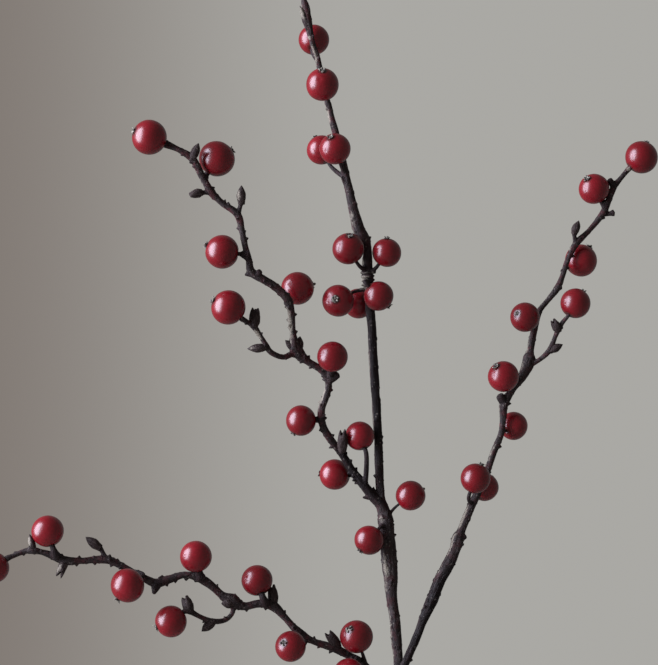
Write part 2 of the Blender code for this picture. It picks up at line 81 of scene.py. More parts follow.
RIGHT_STEM = [
    (-35.5, 2, 18.5, 2.9), (-29, 1.5, 52, 2.8), (-21.5, 1, 82, 2.6), (-15, 0.8, 105, 2.5),
    (-9.6, 0.4, 124, 2.4), (-6.9, 0.2, 138, 2.4), (-4, 0.2, 150, 2.3), (1.5, 0.5, 165, 2.53),
    (5, 1, 173, 2.75), (7.5, 1, 179.5, 2.97), (10.5, 1.5, 186, 3.95), (13, 2, 192.5, 3.8),
    (14.7, 2, 195.5, 3.9), (16.2, 2.5, 198.5, 3.8), (17.8, 2.5, 202, 3.68), (19, 3.4, 205.9, 4.2),
    (19.9, 3.6, 208, 2.95), (21.5, 4, 212, 2.8), (24.5, 5, 218.5, 2.8), (28, 5.5, 226, 2.39),
    (30.5, 6.5, 233, 2.21), (33, 7.5, 239, 2.12), (33.8, 8, 244, 2.21), (34.3, 9, 249.5, 3.04),
    (37, 10, 253.5, 2.39), (40.3, 11, 258, 3.1), (42.4, 11.9, 262.2, 4.2), (42.8, 12.2, 264.4, 4.1),
    (43, 12.4, 265.5, 2.7), (43.5, 13, 269, 2.4), (44.5, 13.5, 273.5, 2.2),
    (46.3, 14.5, 279.5, 2.02), (48.5, 15, 282.3, 1.85), (52.2, 15.5, 287, 2.29),
    (54, 16.5, 291, 1.85), (55.8, 17, 296.5, 1.85), (58.5, 18, 301.5, 2.29),
    (63.5, 19, 306.5, 1.76), (68, 20.5, 312.3, 2.3), (70.4, 22, 318, 2.2), (71.8, 22.5, 321, 2.3),
    (73.5, 23, 323, 1.8),
]
RIGHT_TWIG = [
    (42.8, 12, 261.5, 2), (46.3, 10, 263.7, 1.6), (49, 8, 266.7, 2), (50.8, 7.5, 271, 1.6),
    (51.8, 7, 273.5, 2), (53, 6.5, 275.5, 1.6),
]
LOW_STEM = [
    (22, -13, 5.4, 3), (17, -10, 45, 2.9), (9, -7.5, 90, 2.8), (1, -5.5, 120, 2.8),
    (-3.8, -4.8, 138, 2.8), (-6.8, -5.6, 149, 2.8), (-8.2, -7, 157, 2.8), (-9.7, -8.3, 163.5, 2.8),
    (-12.5, -9, 167, 2.7), (-16.5, -9.5, 169.3, 2.4), (-20.5, -10.5, 171.5, 2.8),
    (-28.5, -11.5, 174.5, 2.2), (-33, -12.5, 177.7, 2.65), (-37, -13, 182, 2.35),
    (-40.5, -13.5, 185.5, 3.2), (-45, -14.5, 186.5, 2.7), (-50, -15.5, 185.7, 2.7),
    (-53.5, -15.9, 187.5, 4.4), (-56.5, -16.5, 189.2, 2.6), (-59, -17, 191.5, 2.5),
    (-63, -18, 194.5, 2.8), (-68, -19, 196, 2.2), (-73.5, -20, 194.6, 2.7),
    (-77.5, -21, 193.7, 2.8), (-82.5, -22, 196.2, 2.2), (-88, -23, 199.3, 2.2),
    (-92.5, -24, 201.3, 2.7), (-100, -25.5, 201, 2), (-105, -26.5, 201.2, 2.8),
    (-110, -27.5, 203.2, 2.38), (-112.5, -28, 204, 1.9), (-115, -28.5, 204.5, 2.5),
    (-117.3, -28.5, 204.3, 1.9), (-121.3, -29.5, 202.8, 1.7),
]
LOW_TWIG = [
    (-54, -16, 187, 2.2), (-53.2, -16.5, 184.5, 1.7), (-55, -17.5, 182, 1.6),
    (-59, -20, 181.5, 1.9), (-63.5, -22, 183.3, 1.6), (-66, -23, 184.7, 1.9),
]

# Foot, tip, thickness, and what it is: a closed bud of scales, an open one or a fork of two points,
# or else a plain stub, a round knob, a club that widens, or the stalk of the bud that follows it
CENTRE_BUDS = [
    ((-8.5, 2.5, 219), (-12, 1.5, 219), 2.3, "stub"),
    ((-7.5, 2.5, 218), (-8.5, 2, 222.5), 1.6, "stub"),
    ((-18.6, -1.5, 234.0), (-18.4, -5.5, 240.5), 3.4, "open"),
    ((-23, -5.5, 257), (-20, -6, 259), 2.9, "knob"),
    ((-33.5, -8, 266.5), (-36.5, -9, 270), 2.6, "bud"),
    ((-33, -8, 266.3), (-32.2, -7, 271.0), 3.3, "bud"),
    ((-47.5, -14, 291), (-49.6, -14, 290.6), 2.4, "stub"),
    ((-46, -14, 290.5), (-44.6, -15, 291.7), 2.2, "knob"),
    ((-51.5, -18, 309.3), (-50.5, -19, 313.5), 1.3, "stalk"),
    ((-50.5, -18.5, 312.7), (-50.5, -20, 318.5), 2.9, "bud"),
    ((-60.3, -20, 316.2), (-63.2, -20.3, 316.3), 1.4, "stalk"),
    ((-62.7, -20.2, 316.3), (-66.6, -21, 315.7), 3.0, "open"),
    ((-66, -23.5, 326.5), (-63.2, -26, 331), 2.9, "bud"),
    ((-42.7, -13, 267.7), (-48.5, -14, 266.7), 2.9, "bud"),
    ((-46.7, -15.5, 274), (-46, -14.5, 279.8), 3.7, "open"),
    ((-29.7, -2, 369.8), (-31.6, -2.8, 377.3), 2.2, "bud"),
    ((-29.8, -1.8, 372), (-29.3, -2.7, 378.5), 1.9, "bud"),
    ((-17.5, 0.3, 320), (-19, -0.7, 322.5), 1.6, "stub"),
    ((-33.5, -2.7, 401), (-31.7, -3.2, 406), 2.2, "bud"),
]
RIGHT_BUDS = [
    ((72, 22.5, 320.3), (69.8, 21.6, 322.9), 2.4, "knob"),
    ((68.2, 20.5, 311.1), (71.3, 20.5, 311.9), 2.5, "club"),
    ((58.3, 18, 301.5), (57.8, 17, 305.5), 1.3, "stalk"),
    ((57.8, 17.2, 304.7), (59, 16, 309), 2.8, "bud"),
    ((52, 15.5, 286.7), (53.5, 15.2, 287.3), 1.9, "knob"),
    ((34.3, 9, 249.5), (32.6, 8, 251.8), 3.0, "knob"),
    ((19.5, 3.3, 205.2), (21.3, 3, 206.5), 2.1, "knob"),
    ((49, 8.3, 266.3), (53, 7, 268.3), 2.8, "bud"),
    ((51.8, 7, 272.6), (50.4, 5.5, 276.3), 3.1, "open"),
]
LOW_BUDS = [
    ((-114.7, -28.5, 204.3), (-115.8, -29.3, 209.5), 2.2, "bud"),
    ((-105, -26.5, 201.3), (-107.5, -27.5, 196.5), 2.9, "fork"),
    ((-92.5, -24, 201.5), (-94.5, -24, 205), 1.3, "stalk"),
    ((-94.4, -24, 204.8), (-98.9, -24.5, 208.2), 3.1, "bud"),
    ((-76.9, -21, 193.9), (-77.9, -21, 190.2), 3.8, "stub"),
    ((-52.7, -16, 187.2), (-56.8, -17.2, 186.6), 3.8, "bud"),
    ((-40.5, -13.5, 186), (-41, -12.5, 192), 3.4, "open"),
    ((-19.9, -10.5, 172), (-23, -11.2, 177.2), 3.4, "open"),
    ((-59, -20, 181.7), (-62.8, -21, 178.5), 3.1, "bud"),
    ((-66.3, -23.2, 184.7), (-68.4, -22.5, 189.3), 3.6, "open"),
]

# Middle, width, way the calyx faces, and where the stalk leaves the branch, or the shoot it ends
CENTRE_BERRIES = [
    ((-10, -2, 205.5), 9.5, (-0.62, -0.3, -0.7), (-4.3, 3, 209.5)),
    ((3.5, 3, 219.5), 9.7, (0.75, 0.55, 0.35), (-4.8, 3, 211.2)),
    ((-13.3, 7.5, 281.7), 9.8, (-0.5, 0.8, -0.35), (-10, 1.5, 287)),
    ((-7, -5.1, 284), 9.6, (0.7, 0.25, -0.67), (-10.2, 1.3, 288.5)),
    ((-20, -3.5, 282.5), 10.3, (-0.17, -0.98, 0.08), (-10.5, 1.0, 286.2)),
    ((-4.3, -2, 298), 9.4, (0, -0.2, 0.98), (-10.5, 1, 291.5)),
    ((-16.7, -3.5, 299.2), 10.3, (0.07, -0.6, 0.8), (-10.5, 1, 292.5)),
    ((-21, -6.7, 331), 10.0, (-0.28, -0.65, 0.7), (-17.7, 0, 323.5)),
    ((-25.3, 4.5, 331.5), 9.7, (-0.45, 0.3, 0.85), (-17.4, 0.2, 322)),
    ((-25, -7.8, 351.5), 10.5, (0, -0.6, 0.8), (-24, -1, 349)),
    ((-27.8, 5, 367.3), 9.9, (0.1, 0.75, 0.65), (-26.5, -1, 360)),
    ((-39.7, -4.5, 398.5), 9.6, (-0.6, -0.4, 0.7), (-33, -2.5, 392)),
    ((-29.2, 2.5, 400), 9.8, (0.5, 0.5, 0.7), (-32.8, -2.5, 391)),
    ((-36.5, -4, 419.5), 9.8, (-0.1, -0.1, 0.99), "stem"),
]
LIMB_BERRIES = [
    ((-21, 5, 226.2), 10.0, (-0.95, 0.25, 0.05), (-14.3, 1.2, 226.5)),
    ((-13, -1, 239), 9.4, (-0.2, 0.8, 0.55), (-11.2, 1.5, 223.6)),
    ((-31.9, -2.5, 244), 9.8, (-0.5, -0.12, -0.85), (-25.1, -2.3, 244.5)),
    ((-21.8, -10.5, 264.6), 9.8, (0.55, 0.65, 0.5), (-22.5, -5.7, 257.8)),
    ((-33, -3, 286.5), 10.6, (0.89, 0.42, 0.20), (-35.5, -11.3, 281)),
    ((-54.6, -18.5, 280.2), 10.9, (-0.87, -0.28, 0.41), "twig"),
    ((-56.7, -16, 297.8), 10.7, (-0.91, -0.1, 0.4), (-48.7, -15.3, 296.8)),
    ((-58.2, -18.8, 327.0), 11.3, (0.82, 0.25, 0.52), (-61.5, -21.6, 321.0)),
    ((-79, -25, 333.3), 11.1, (-0.86, -0.38, 0.34), "limb"),
]
RIGHT_BERRIES = [
    ((28, 11.5, 221.7), 9.2, (0.5, 0.5, 0.7), (22, 4.2, 213)),
    ((24.3, -0.8, 225.3), 9.7, (0.42, 0.05, 0.9), (23.1, 4.0, 217.0)),
    ((37.6, 13.2, 241.7), 9.3, (0.6, 0.7, 0.3), (33.5, 7.8, 241.5)),
    ((33.7, 5, 258), 10.1, (-0.5, -0.55, 0.65), (37, 10, 253.7)),
    ((41, 9, 277.3), 9.6, (-0.6, -0.75, 0.25), (45.2, 14, 275.7)),
    ((57.2, 6, 281.8), 9.8, (0.5, 0.3, 0.79), "twig"),
    ((60.7, 23, 296.2), 10.7, (0.5, 0.2, 0.83), (54.5, 16.6, 292.5)),
    ((64.7, 20.3, 319.8), 10.1, (-0.5, -0.58, 0.62), (68.6, 20.7, 313.7)),
    ((80.9, 24, 330.5), 10.8, (0.32, 0.08, 0.94), "stem"),
]
LOW_BERRIES = [
    ((-16.6, -15.3, 164.2), 10.1, (-0.4, -0.5, -0.77), (-13.5, -9.2, 167.7)),
    ((-14.2, -13.2, 175.8), 10.6, (-0.43, -0.72, 0.54), (-10.8, -8.7, 165.5)),
    ((-35, -17.7, 173.3), 9.8, (-0.46, -0.82, 0.34), (-30, -12, 175.5)),
    ((-45.7, -14.5, 193.8), 9.9, (0.3, 0.75, 0.5), (-42.8, -14.2, 186.3)),
    ((-72.3, -24.5, 182), 10.0, (-0.9, -0.2, -0.38), "twig"),
    ((-64.8, -19.3, 201.8), 10.1, (0.4, 0.8, 0.4), (-63.5, -18.3, 194.9)),
    ((-85.6, -28.2, 193.6), 10.6, (-0.56, -0.1, -0.82), (-84.5, -22.3, 197.3)),
    ((-110.4, -28.5, 210.5), 10.0, (0.1, 0.8, 0.55), (-107.6, -27.2, 202.5)),
    ((-126.8, -30.5, 199.4), 9.6, (-0.8, -0.1, -0.55), "stem"),
]

# Name, shoots with how far apart their spurs are, buds, and berries by family
BRANCHES = [
    (
        "centre_branch",
        {"stem": (CENTRE_STEM, 9.0), "limb": (CENTRE_LIMB, 2.6), "twig": (CENTRE_TWIG, 4.0)},
        CENTRE_BUDS,
        {"centre_berry": CENTRE_BERRIES, "limb_berry": LIMB_BERRIES},
    ),
    (
        "right_branch",
        {"stem": (RIGHT_STEM, 9.0), "twig": (RIGHT_TWIG, 5.0)},
        RIGHT_BUDS,
        {"right_berry": RIGHT_BERRIES},
    ),
    (
        "low_branch",
        {"stem": (LOW_STEM, 2.8), "twig": (LOW_TWIG, 5.0)},
        LOW_BUDS,
        {"low_berry": LOW_BERRIES},
    ),
]

# Patches of bark: middle, how far it runs along the stem and how far across, strength. A pale patch
# is bark pale from wear; a negative strength is painted shade, where the bark is made darker than
# elsewhere
PALE_AND_PAINTED_SHADE_PATCHES = [
    ((-6.2, 1, 212), 4.5, 2, 0.52),
    ((-5.2, 0.6, 196.6), 6, 2.3, 0.52),
    ((-4.6, 1, 184), 9, 1.5, 0.50),
    ((-3, 1.6, 173), 6, 1.3, 0.45),
    ((-11.6, -0.2, 288.2), 2.8, 1.9, 1.10),
    ((-12.3, 0.2, 294.6), 2.4, 0.8, 1.00),
    ((-15, 0, 308.5), 5, 1.2, 0.60),
    ((-12.3, 0, 302), 2, 1, 0.55),
    ((-23.4, -1.2, 342.5), 5, 1, 0.58),
    ((-27.6, -1.6, 362.9), 6, 0.9, 0.58),
    ((-29.2, -2.4, 367), 0.7, 0.6, 0.85),
    ((-29.3, -2, 371), 4, 1.2, 0.50),
    ((-31.8, -3.3, 375), 3.5, 1.5, 0.50),
    ((16, 1.4, 202.8), 7, 1, 0.85),
    ((12.3, 0.8, 195), 5, 0.9, 0.80),
    ((20.5, 3.2, 212.5), 6, 0.8, 0.75),
    ((29.5, 5.5, 233), 5, 1, 0.45),
    ((51.2, 14.2, 287.8), 1.3, 0.9, 0.62),
    ((9, 1, 183), 17, 6, -0.75),
    ((-7.8, 1, 256), 22, 5, -0.80),
    ((-10, 1.4, 262.5), 6, 0.5, 1.50),
    ((-8.7, 1.6, 242), 10, 0.45, 1.50),
    ((-14.5, 1.5, 227), 13, 5, -0.70),
    ((-3, 1, 222), 8, 6, -0.30),
    ((-116.4, -29.4, 207.6), 2, 1, 0.90),
    ((-35.9, -11, 275), 9, 1.5, 0.72),
    ((-36.8, -10.2, 268), 2.5, 1, 0.60),
    ((-47.8, -14.8, 267.4), 1.5, 1.2, 0.60),
    ((-46.2, -15.4, 272.3), 4, 1.1, 0.72),
    ((-25.6, -4.6, 252.5), 5, 1.3, 0.92),
    ((-51.4, -20.3, 315.5), 2.5, 0.9, 0.60),
    ((76.3, 22.6, 326.5), 1, 0.9, 0.70),
    ((-107.2, -28.4, 198.6), 3, 0.9, 0.62),
    ((-44.4, -16, 188.5), 1.5, 1.2, 0.50),
]
# Berries whose stalk does not leave opposite the calyx: the way from the berry's middle
STALK_WAYS = {
    "centre_berry_02": (-0.80, 0, -0.60), "centre_berry_05": (0.72, 0.50, 0.42),
    "centre_berry_06": (-0.55, 0.25, -0.80), "centre_berry_07": (0.52, 0.20, -0.83),
    "centre_berry_10": (0.15, 0.95, -0.25), "limb_berry_02": (0.35, -0.35, -0.87),
    "limb_berry_03": (0.95, 0.20, 0.05), "limb_berry_04": (-0.10, 0.55, -0.82),
    "limb_berry_05": (-0.55, -0.55, -0.60), "limb_berry_06": (0.76, 0.10, -0.64),
    "limb_berry_07": (0.98, 0.05, -0.12), "limb_berry_08": (-0.55, 0, -0.83),
    "right_berry_02": (-0.35, 0.10, -0.93), "right_berry_07": (-0.85, -0.20, -0.45),
    "right_berry_09": (-0.74, -0.08, -0.67), "low_berry_02": (0.30, 0.40, -0.87),
    "low_berry_04": (0.32, -0.40, -0.86), "low_berry_05": (0.80, 0.15, 0.58),
    "low_berry_06": (0.15, 0.10, -0.98), "low_berry_07": (0.75, 0.50, 0.42),
    "low_berry_08": (0.32, -0.20, -0.92),
}
# Berries with a stouter or finer stalk: its thickness at the branch and at the berry
STALK_SIZES = {
    "centre_berry_02": (1.4, 1), "centre_berry_05": (1.4, 1.1), "limb_berry_02": (1.9, 1.6),
    "limb_berry_03": (3, 2.2), "limb_berry_04": (2.4, 2.4), "limb_berry_06": (2, 2),
    "limb_berry_07": (4, 1.5), "limb_berry_08": (2.1, 1.9), "limb_berry_09": (2.6, 2.7),
    "right_berry_02": (1.4, 1.4), "right_berry_08": (2.6, 2.2), "right_berry_09": (2, 1.9),
    "low_berry_02": (1.5, 1.2), "low_berry_04": (3.2, 2.2), "low_berry_05": (1.7, 1.7),
    "low_berry_06": (4, 3), "low_berry_08": (3, 1.9), "low_berry_09": (2, 2),
}
# Berries whose calyx is larger or smaller than usual
CALYX_SIZES = {"limb_berry_09": 0.8, "right_berry_05": 0.7, "right_berry_09": 0.75}
# Thorns that stand out most: a point near the shoot, and the way the thorn points
THORNS = {
    "centre_branch": [
        ((-36.6, -9.5, 280.3), (-1, 0, 0.1)),
        ((-34, -9.8, 278.2), (1, 0, 0.2)),
        ((-35.8, -9, 273.6), (-1, 0, 0.2)),
        ((-33.3, -8.5, 272.1), (0.9, 0, 0.5)),
        ((-29.4, -7, 264.6), (0.6, 0, 0.8)),
        ((-31.7, -7, 262.9), (-0.6, 0, -0.6)),
        ((-28.5, -6.5, 260.8), (-0.7, 0, -0.6)),
        ((-25, -5, 256.4), (-1, 0, 0.1)),
        ((-22.4, -4, 253.5), (1, 0, 0)),
        ((-26, -3, 250.6), (-1, 0, 0)),
        ((-51.3, -17, 304.8), (-1, 0, 0.1)),
        ((-48.2, -16, 301.7), (1, 0, 0.4)),
        ((-59.7, -20.5, 317.4), (0.9, 0, 0.5)),
        ((-24.3, -2.5, 244.5), (1, 0, 0.2)),
        ((-26.1, -2, 240.9), (-0.8, 0, -0.5)),
        ((-21.1, -1.3, 239.6), (0.9, 0, 0.4)),
        ((-22.6, -0.8, 234.4), (-0.9, 0, -0.4)),
        ((-17.1, -0.3, 232.8), (0.6, 0, 0.8)),
        ((-13.4, 1, 227.9), (0.5, 0, 0.8)),
        ((-13.9, 1.3, 223.7), (-0.8, 0, -0.6)),
    ],
    "low_branch": [
        ((-101.5, -26.5, 199.9), (0, 0, -1)),
        ((-100.6, -26.5, 202.6), (0, 0, 1)),
        ((-96, -25, 200.3), (0.1, 0, -1)),
        ((-91.3, -24, 202.7), (0.2, 0, 1)),
        ((-90.5, -24, 199.9), (-0.5, 0, -0.9)),
        ((-75.7, -20.8, 195.2), (0, 0, 1)),
        ((-73.8, -20.2, 192.6), (0.3, 0, -1)),
        ((-67.6, -19.5, 194.1), (0, 0, -1)),
        ((-48.7, -15, 184.2), (0, 0, -1)),
        ((-43.3, -14.3, 184.7), (0, 0, -1)),
    ],
}
THORN_HEIGHT = 0.78
THORN_REACH = 0.62
# Raised rings of old wounds on the stems
WOUND_RINGS = [
    (-10.1, 1.4, 286.4), (-10.2, 1.2, 287.8), (-10.4, 1.1, 289.1), (-10.5, 1, 290.4),
    (-10.5, 1, 291.7),
]


# ---------------------------------------------------------------- small mesh helpers


def mesh_object(name, vertices, faces, materials, face_material=None):
    """An object from points in millimetres."""
    mesh = bpy.data.meshes.new(name)
    mesh.from_pydata((np.asarray(vertices) * MM).tolist(), [], faces)
    for material in materials:
        mesh.materials.append(material)
    if face_material is not None:
        mesh.polygons.foreach_set("material_index", np.asarray(face_material, np.int32))
    mesh.polygons.foreach_set("use_smooth", np.ones(len(mesh.polygons), bool))
    mesh.update()
    item = bpy.data.objects.new(name, mesh)
    bpy.context.scene.collection.objects.link(item)
    return item


def thin_out(item):
    """Fewer triangles where the surface is flattest, if the object has too many."""
    count = sum(len(polygon.vertices) - 2 for polygon in item.data.polygons)
    if count > MOST_TRIANGLES:
        thinner = item.modifiers.new("thinner", "DECIMATE")
        thinner.ratio = MOST_TRIANGLES / count


def add_vectors(item, name, values):
    """A vector for each point, which the materials read by its name."""
    layer = item.data.attributes.new(name, "FLOAT_VECTOR", "POINT")
    layer.data.foreach_set("vector", np.asarray(values, np.float32).ravel())


def unit(vector):
    return vector / max(np.linalg.norm(vector), 1e-9)


def side_of(direction, least):
    """A way square to the direction, and to Y unless their sine is no more than the least."""
    side = np.cross(direction, (0.0, 1.0, 0.0))
    return unit(side if np.linalg.norm(side) > least else np.cross(direction, (1.0, 0.0, 0.0)))


def smooth_step(low, high, value):
    t = np.clip((value - low) / (high - low), 0.0, 1.0)
    return t * t * (3 - 2 * t)


def turns(count):
    """The angles of so many points round a ring."""
    return np.arange(count) * 2 * math.pi / count


def level_ring(radius, turn, height):
    """Points round the Z axis at one height."""
    return np.stack([radius * np.cos(turn), radius * np.sin(turn), np.full(len(turn), height)], 1)


def ring_faces(rows, columns):
    """Quads between closed rings of points, with a fan at each end to its own middle point.

    The points are rows x columns, then the first middle and the last middle."""
    faces = []
    for i in range(rows - 1):
        for j in range(columns):
            k = (j + 1) % columns
            a, b = i * columns, (i + 1) * columns
            faces.append((a + j, a + k, b + k, b + j))
    first, last = rows * columns, rows * columns + 1
    end = (rows - 1) * columns
    for j in range(columns):
        k = (j + 1) % columns
        faces.append((first, k, j))
        faces.append((last, end + j, end + k))
    return faces


def moved(faces, start):
    """The faces of points that stand in a longer list, from the start on."""
    return [tuple(start + corner for corner in face) for face in faces]


def flipped(faces):
    return [face[::-1] for face in faces]


def point_tree(points):
    """A search tree of the points."""
    tree = kdtree.KDTree(len(points))
    for index, point in enumerate(points):
        tree.insert(point, index)
    tree.balance()
    return tree


def smooth_route(points, step):
    """A centripetal Catmull-Rom line through (x, y, z, thickness) points."""
    points = np.asarray(points, float)
    points = np.vstack([2 * points[0] - points[1], points, 2 * points[-1] - points[-2]])
    found = []
    for i in range(1, len(points) - 2):
        p = points[i - 1 : i + 3]
        gaps = np.sqrt(np.linalg.norm(np.diff(p[:, :3], axis=0), axis=1))
        t0, t1, t2, t3 = np.concatenate([[0.0], np.cumsum(gaps)])
        count = max(2, math.ceil(gaps[1] ** 2 / step))
        t = np.linspace(t1, t2, count, endpoint=False)[:, None]
        a1 = ((t1 - t) * p[0] + (t - t0) * p[1]) / (t1 - t0)
        a2 = ((t2 - t) * p[1] + (t - t1) * p[2]) / (t2 - t1)
        a3 = ((t3 - t) * p[2] + (t - t2) * p[3]) / (t3 - t2)
        b1 = ((t2 - t) * a1 + (t - t0) * a2) / (t2 - t0)
        b2 = ((t3 - t) * a2 + (t - t1) * a3) / (t3 - t1)
        found.append(((t2 - t) * b1 + (t - t1) * b2) / (t2 - t1))
    found.append(points[-2][None, :])
    return np.vstack(found)


WOOD, STALK, STUB = 0, 1, 2
SHOOT_STEP = 0.4
STALK_STEP = 0.25
TUBE_COLUMNS = 12
END_ROUNDING = 0.4
LINE_SINE = 0.1


class Line:
    """A smooth route with a frame at each of its points.

    Its grain is its length, counted from the offset so that each line has a bark of its own."""

    def __init__(self, points, kind, offset, step):
        route = smooth_route(points, step)
        self.kind = np.full(len(route), kind)
        self.middle = route[:, :3]
        self.radius = route[:, 3] / 2
        self.tangent = np.gradient(self.middle, axis=0)
        self.tangent /= np.linalg.norm(self.tangent, axis=1)[:, None]
        gaps = np.linalg.norm(np.diff(self.middle, axis=0), axis=1)
        self.along = np.concatenate([[0.0], np.cumsum(gaps)])
        self.grain = self.along + offset
        side = side_of(self.tangent[0], LINE_SINE)
        sides = []
        for tangent in self.tangent:
            side = unit(side - tangent * np.dot(side, tangent))
            sides.append(side)
        self.side = np.array(sides)
        self.up = np.cross(self.tangent, self.side)

    def tube(self):
        """Points and faces of a closed tube along the line, with rounded ends."""
        turn = turns(TUBE_COLUMNS)
        ring = np.cos(turn)[:, None, None] * self.side + np.sin(turn)[:, None, None] * self.up
        rings = self.middle + ring * self.radius[:, None]
        points = rings.transpose(1, 0, 2).reshape(-1, 3)
        first = self.middle[0] - self.tangent[0] * self.radius[0] * END_ROUNDING
        last = self.middle[-1] + self.tangent[-1] * self.radius[-1] * END_ROUNDING
        return np.vstack([points, first, last]), ring_faces(len(self.middle), TUBE_COLUMNS)


# ---------------------------------------------------------------- stalks


STALK_AT_BRANCH = 1.75
STALK_AT_BERRY = 1.3
STALK_POINTS = 5
STALK_BEND = 2.5
STALK_STRAIGHT = 1.0
DIMPLE_DEPTH = 0.10
STALK_IN_BERRY = 0.15


def stalk_of(name, facing):
    """The way from a berry's middle to its stalk, and the stalk's thickness at its two ends."""
    way = STALK_WAYS.get(name, tuple(-part for part in facing))
    return unit(np.array(way, float)), STALK_SIZES.get(name, (STALK_AT_BRANCH, STALK_AT_BERRY))


def stalk_end(name, middle, width, facing):
    """The straight end of a stalk, down into the berry's dimple."""
    way, (_, at_berry) = stalk_of(name, facing)
    tip = np.array(middle) + way * (width / 2 * (1.0 - DIMPLE_DEPTH) - STALK_IN_BERRY)
    return [(*(tip + way * STALK_STRAIGHT), at_berry), (*tip, at_berry)]


def stalk_route(name, middle, width, facing, foot):
    """A stalk from its foot on the branch, in a curve to its straight end."""
    way, (at_branch, at_berry) = stalk_of(name, facing)
    end = stalk_end(name, middle, width, facing)
    arrive = np.array(end[0][:3])
    foot = np.array(foot, float)
    bend = arrive + way * min(np.linalg.norm(arrive - foot) / 2, STALK_BEND)
    route = []
    for step in range(STALK_POINTS):
        t = step / STALK_POINTS
        point = foot * (1 - t) ** 2 + bend * 2 * t * (1 - t) + arrive * t * t
        route.append((*point, at_branch + (at_berry - at_branch) * t))
    return route + end


# ---------------------------------------------------------------- buds


BUD_COLUMNS = 28
BUD_ROWS = 26
BUD_LENGTH = 1.02
BUD_WIDTH = 0.93
BUD_LEAN = 0.10
BUD_SINE = 0.2
# How far below its foot and, when closed, above its tip a bud's ends are
BUD_FOOT = 0.2
BUD_TIP = 0.12
# The sides of an open bud's points, as a cosine round it, and the height they are drawn out from
TOOTH_SIDES = (-0.55, 0.65)
TEETH_OUTSIDE = 0.3
TEETH_INSIDE = 0.5
BUD_SHAPE = (
    (0.0, 0.10, 0.22, 0.36, 0.50, 0.64, 0.78, 0.90, 0.97, 1.0),
    (0.62, 0.66, 0.82, 0.97, 1.0, 0.90, 0.66, 0.36, 0.16, 0.05),
)
CUP_SHAPE = (
    (0.0, 0.12, 0.28, 0.48, 0.68, 0.86, 1.0),
    (0.58, 0.68, 0.92, 1.02, 1.00, 0.88, 0.66),
)
# An open bud's hollow, from the rim down: its share of the rim's width, and its height
CUP_HOLLOW = ((0.74, 0.98), (0.45, 0.92), (0.20, 0.88))
# How high the rim is between its points, and how much higher the points are
CUP_TEETH = {"open": (0.84, 0.18), "fork": (0.70, 0.32)}
# How far up the bud each scale reaches, and half its width as an angle
SCALES = ((0.30, 1.3), (0.42, 1.3), (0.58, 1.2), (0.72, 1.15), (0.86, 1.1))
SCALE_TURN = 2.4
SCALE_HEIGHT = 0.085
# The thickness at foot, middle and tip: shares of what is no bud, millimetres of the stalk under
# a bud, and shares of the collar that a bud stands in
STUB_SHAPES = {"stub": (1.0, 0.76, 0.32), "knob": (1.0, 1.02, 0.9), "club": (0.5, 0.62, 1.0)}
BUD_STALK = (1.7, 1.5, 1.7)
COLLAR_SHAPE = (0.7, 0.72, 0.66)
COLLAR_REACH = 0.28
# Painted light: how much a bud's side has to face the window to be painted paler, and to be so in
# full
BUD_LIT = (0.25, 0.9)


def has_scales(style):
    return style == "bud" or style in CUP_TEETH


def scaled_radius(t, turn, first_turn, shape):
    """How wide a bud is at a height from 0 to 1, with the raised edges of its scales."""
    r = np.full(BUD_COLUMNS, np.interp(t, *shape))
    for number, (reach, half) in enumerate(SCALES):
        away = (turn - first_turn - number * SCALE_TURN + math.pi) % (2 * math.pi) - math.pi
        edge = reach * (1 - 0.5 * (away / half) ** 2)
        inside = np.where(np.abs(away) < half, edge - t, -1.0)
        r = r + SCALE_HEIGHT * smooth_step(-0.015, 0.03, inside) * (1 - 0.6 * t)
    return r * (1 + 0.03 * np.sin(5 * turn + first_turn + 2 * t))


def bud_points(foot, tip, thickness, chance, style):
    """A bud of overlapping scales. An open one ends in two or three points round a hollow.

    Its points and faces, the points' grain, and how much of the window's light each gets, for
    painting the bud paler there."""
    direction = unit(tip - foot)
    length = np.linalg.norm(tip - foot) * BUD_LENGTH
    side = side_of(direction, BUD_SINE)
    up = np.cross(direction, side)
    turn = turns(BUD_COLUMNS)
    first_turn = chance.uniform(0, 2 * math.pi)
    is_open = style in CUP_TEETH
    prongs = chance.choice((2, 3)) if style == "open" else 2
    low, tall = CUP_TEETH.get(style, (1.0, 0.0))
    first_tooth = first_turn if style == "open" else 0.0
    teeth = smooth_step(*TOOTH_SIDES, np.cos(prongs * (turn - first_tooth)))
    lean = side * chance.uniform(-BUD_LEAN, BUD_LEAN) + up * chance.uniform(-BUD_LEAN, BUD_LEAN)

    def ring(t, toothed_from, radius, bend):
        height = t * (low + tall * teeth * smooth_step(toothed_from, 1.0, t))
        centre = foot + lean * bend * length + np.outer(height * length, direction)
        return centre + np.outer(np.cos(turn) * radius, side) + np.outer(np.sin(turn) * radius, up)

    half = thickness / 2 * BUD_WIDTH
    shape = CUP_SHAPE if is_open else BUD_SHAPE
    rings = []
    for t in np.linspace(0, 1, BUD_ROWS):
        radius = half * scaled_radius(t, turn, first_turn, shape)
        rings.append(ring(t, TEETH_OUTSIDE, radius, t * t))
    if is_open:
        rim = half * shape[1][-1]
        rings += [ring(t, TEETH_INSIDE, rim * share, 1.0) for share, t in CUP_HOLLOW]
    below = rings[0].mean(0) - direction * BUD_FOOT
    above = rings[-1].mean(0) + direction * (0.0 if is_open else BUD_TIP)
    points = np.vstack([*rings, below, above])
    grain = (points - foot) @ np.stack([direction, side, up], axis=1)
    # Painted light: how much paler the bud is made on its side toward the window
    painted_window_light = smooth_step(*BUD_LIT, -(np.cos(turn) * side[0] + np.sin(turn) * up[0]))
    painted_window_light = np.concatenate([np.tile(painted_window_light, BUD_ROWS), np.zeros(len(points) - BUD_ROWS * BUD_COLUMNS)])
    return points, ring_faces(len(rings), BUD_COLUMNS), grain, painted_window_light


